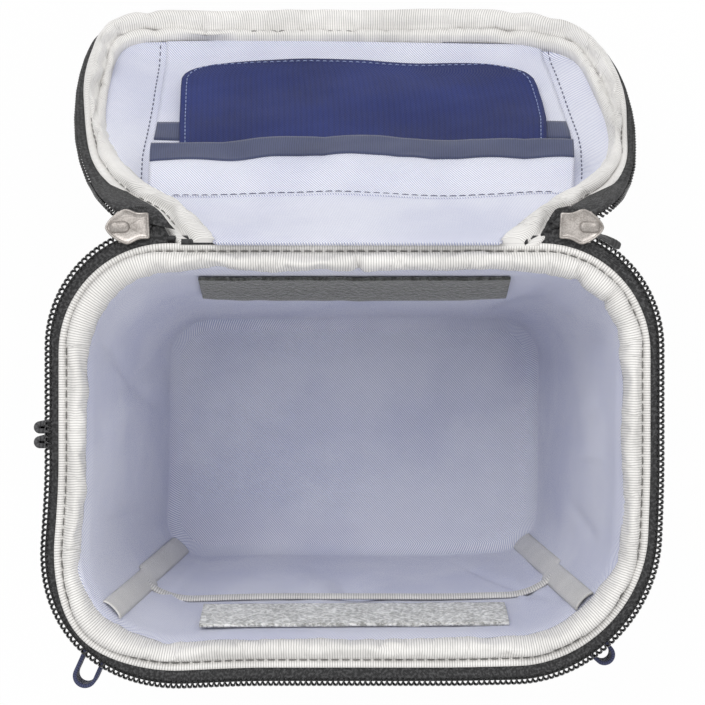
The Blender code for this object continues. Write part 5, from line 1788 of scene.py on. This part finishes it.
# Side tab: two hairpins of black webbing, four leaves side by side, sewn into the left seam.
TAB_LEVELS = np.linspace(119, 143.6, 20) * MM
TAB_OUT = -105.4 * MM
TAB_IN = -95.5 * MM
TAB_LEAF = 1.7 * MM
TAB_HAIRPINS = ((6.4, 8.8), (11.3, 13.7))
# The webbing's darker colour is painted shade between its ribs.
webbing = ribbed("black_webbing", linear(84, 84, 86), linear(20, 20, 21), 1.3, 0.3 * MM, fleck=0.3)
for number, (first, second) in enumerate(TAB_HAIRPINS):
    first, second = first * MM, second * MM
    radius = (second - first) / 2
    turn = np.radians(np.linspace(-90, -270, 16))
    bow = np.c_[TAB_OUT + radius + radius * np.cos(turn), (first + second) / 2 + radius * np.sin(turn)]
    rooted, returned = np.linspace([TAB_IN, first], bow[0], 9), np.linspace(bow[-1], [TAB_IN, second], 9)
    plan = np.concatenate([rooted[:-1], bow, returned[1:]])
    grid = np.empty((len(plan), len(TAB_LEVELS), 3))
    grid[..., :2] = plan[:, None]
    grid[..., 2] = TAB_LEVELS
    leaf = surface("webbing_tab_" + "ab"[number], grid, webbing, "bag", long_rows=True)
    thicken(leaf, TAB_LEAF, 0.0)
    if number == 0:
        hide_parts("side_tab")

# Front slip pocket: one nylon panel that stands a little off the front wall, with a ribbed hem
# over its mouth.
POCKET_HALF = 50 * MM
POCKET_LOW = 16 * MM
POCKET_TOP = 98 * MM
POCKET_OFF = 2.6 * MM
POCKET_EDGE = 5 * MM
POCKET_GAP = 0.35 * MM
POCKET_SLACK = 0.5 * MM
POCKET_NYLON = 0.9 * MM
HEM_LOW = 89 * MM
HEM_GAP = 0.75 * MM
HEM_THICKNESS = 1.2 * MM
HEM_ABOVE = 0.4 * MM
SEAM_INSET = 1.6 * MM
SEAM_OFF = 1.9 * MM
pocket_x = np.linspace(-POCKET_HALF, POCKET_HALF, 130)
pocket_level_up = np.linspace(POCKET_LOW, POCKET_TOP, 90)[:, None]
edge_share = np.clip((POCKET_HALF - np.abs(pocket_x)) / POCKET_EDGE, 0, 1) ** 0.5
low_share = np.clip((pocket_level_up - POCKET_LOW) / POCKET_EDGE, 0, 1) ** 0.5
stand_off = POCKET_GAP + POCKET_OFF * edge_share * low_share
slack = wrinkles(pocket_x, pocket_level_up, 131, POCKET_SLACK, 60 * MM) * edge_share * low_share
front_pocket_grid = wall_face("front", pocket_x, pocket_level_up, -stand_off - slack)
front_pocket = surface("front_pocket_cloth", front_pocket_grid, nylon, "bag")
thicken(front_pocket, POCKET_NYLON)
sewn_cloth(front_pocket_grid)
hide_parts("front_pocket")
hem_level = np.linspace(HEM_LOW, POCKET_TOP + HEM_ABOVE, 12)[:, None]
hem_stand = np.interp(hem_level[:, 0], pocket_level_up[:, 0], np.arange(90))
hem_slack = slack[np.clip(np.rint(hem_stand).astype(int), 0, 89)]
hem_grid = wall_face("front", pocket_x, hem_level, -HEM_GAP - POCKET_OFF * edge_share - hem_slack)
hem = surface("front_pocket_tape", hem_grid, webbing, "bag")
thicken(hem, HEM_THICKNESS)
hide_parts("front_pocket_hem")
black_thread = thread_finish("black_thread", linear(70, 70, 72))
seam_x = np.concatenate([[-1.0] * 60, np.linspace(-1, 1, 80), [1.0] * 60]) * (POCKET_HALF - SEAM_INSET)
seam_side = np.linspace(HEM_LOW, POCKET_LOW + SEAM_INSET, 60)
seam_level = np.concatenate([seam_side, [POCKET_LOW + SEAM_INSET] * 80, seam_side[::-1]])
seam_line = wall_face("front", seam_x, seam_level, -SEAM_OFF)
threads(
    "front_pocket_stitches", seam_line, FORWARDS, black_thread, "bag",
    stitch=WEBBING_STITCH, gap=WEBBING_GAP,
)

# Belt loop: a strap of wide webbing that stands off the rear wall, sewn down at both ends with
# a crossed box of stitches.
BELT_HALF = 22 * MM
BELT_LOW = 28 * MM
BELT_HIGH = 98 * MM
BELT_OFF = 9.6 * MM
BELT_END = 12 * MM
BELT_SEWN_OFF = 0.9 * MM
BELT_THICKNESS = 1.7 * MM
belt_level = np.linspace(BELT_LOW, BELT_HIGH, 80)
belt_share = soft_step(np.minimum(belt_level - BELT_LOW, BELT_HIGH - belt_level) / BELT_END)
belt_off = BELT_SEWN_OFF + BELT_OFF * belt_share
belt_x = np.linspace(-BELT_HALF, BELT_HALF, 40)
belt_grid = wall_face("rear", belt_x, belt_level[:, None], -belt_off[:, None])
belt = surface("belt_strap", belt_grid, webbing, "bag", turned=True)
thicken(belt, BELT_THICKNESS, 0.0)
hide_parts("belt_loop")
BOX_INSET = 3 * MM
BOX_HEIGHT = 8 * MM
BOX_FROM_END = 1.2 * MM
BOX_OFF = 0.95 * MM
box_x = (BELT_HALF - BOX_INSET) * np.array([-1, 1, 1, -1, -1, 1, 1, -1])
box_rise = BOX_HEIGHT * np.array([0, 0, 1, 1, 0, 1, 0, 1])
for label, box_low in (("low", BELT_LOW + BOX_FROM_END), ("high", BELT_HIGH - BOX_FROM_END - BOX_HEIGHT)):
    box_run = evenly(np.c_[box_x, box_low + box_rise], 240)
    box_off = np.interp(box_run[:, 1], belt_level, belt_off) + BOX_OFF
    box_line = wall_face("rear", box_run[:, 0], box_run[:, 1], -box_off)
    threads(
        "belt_stitches_" + label, box_line, REARWARDS, black_thread, "bag",
        stitch=WEBBING_STITCH, gap=WEBBING_GAP,
    )
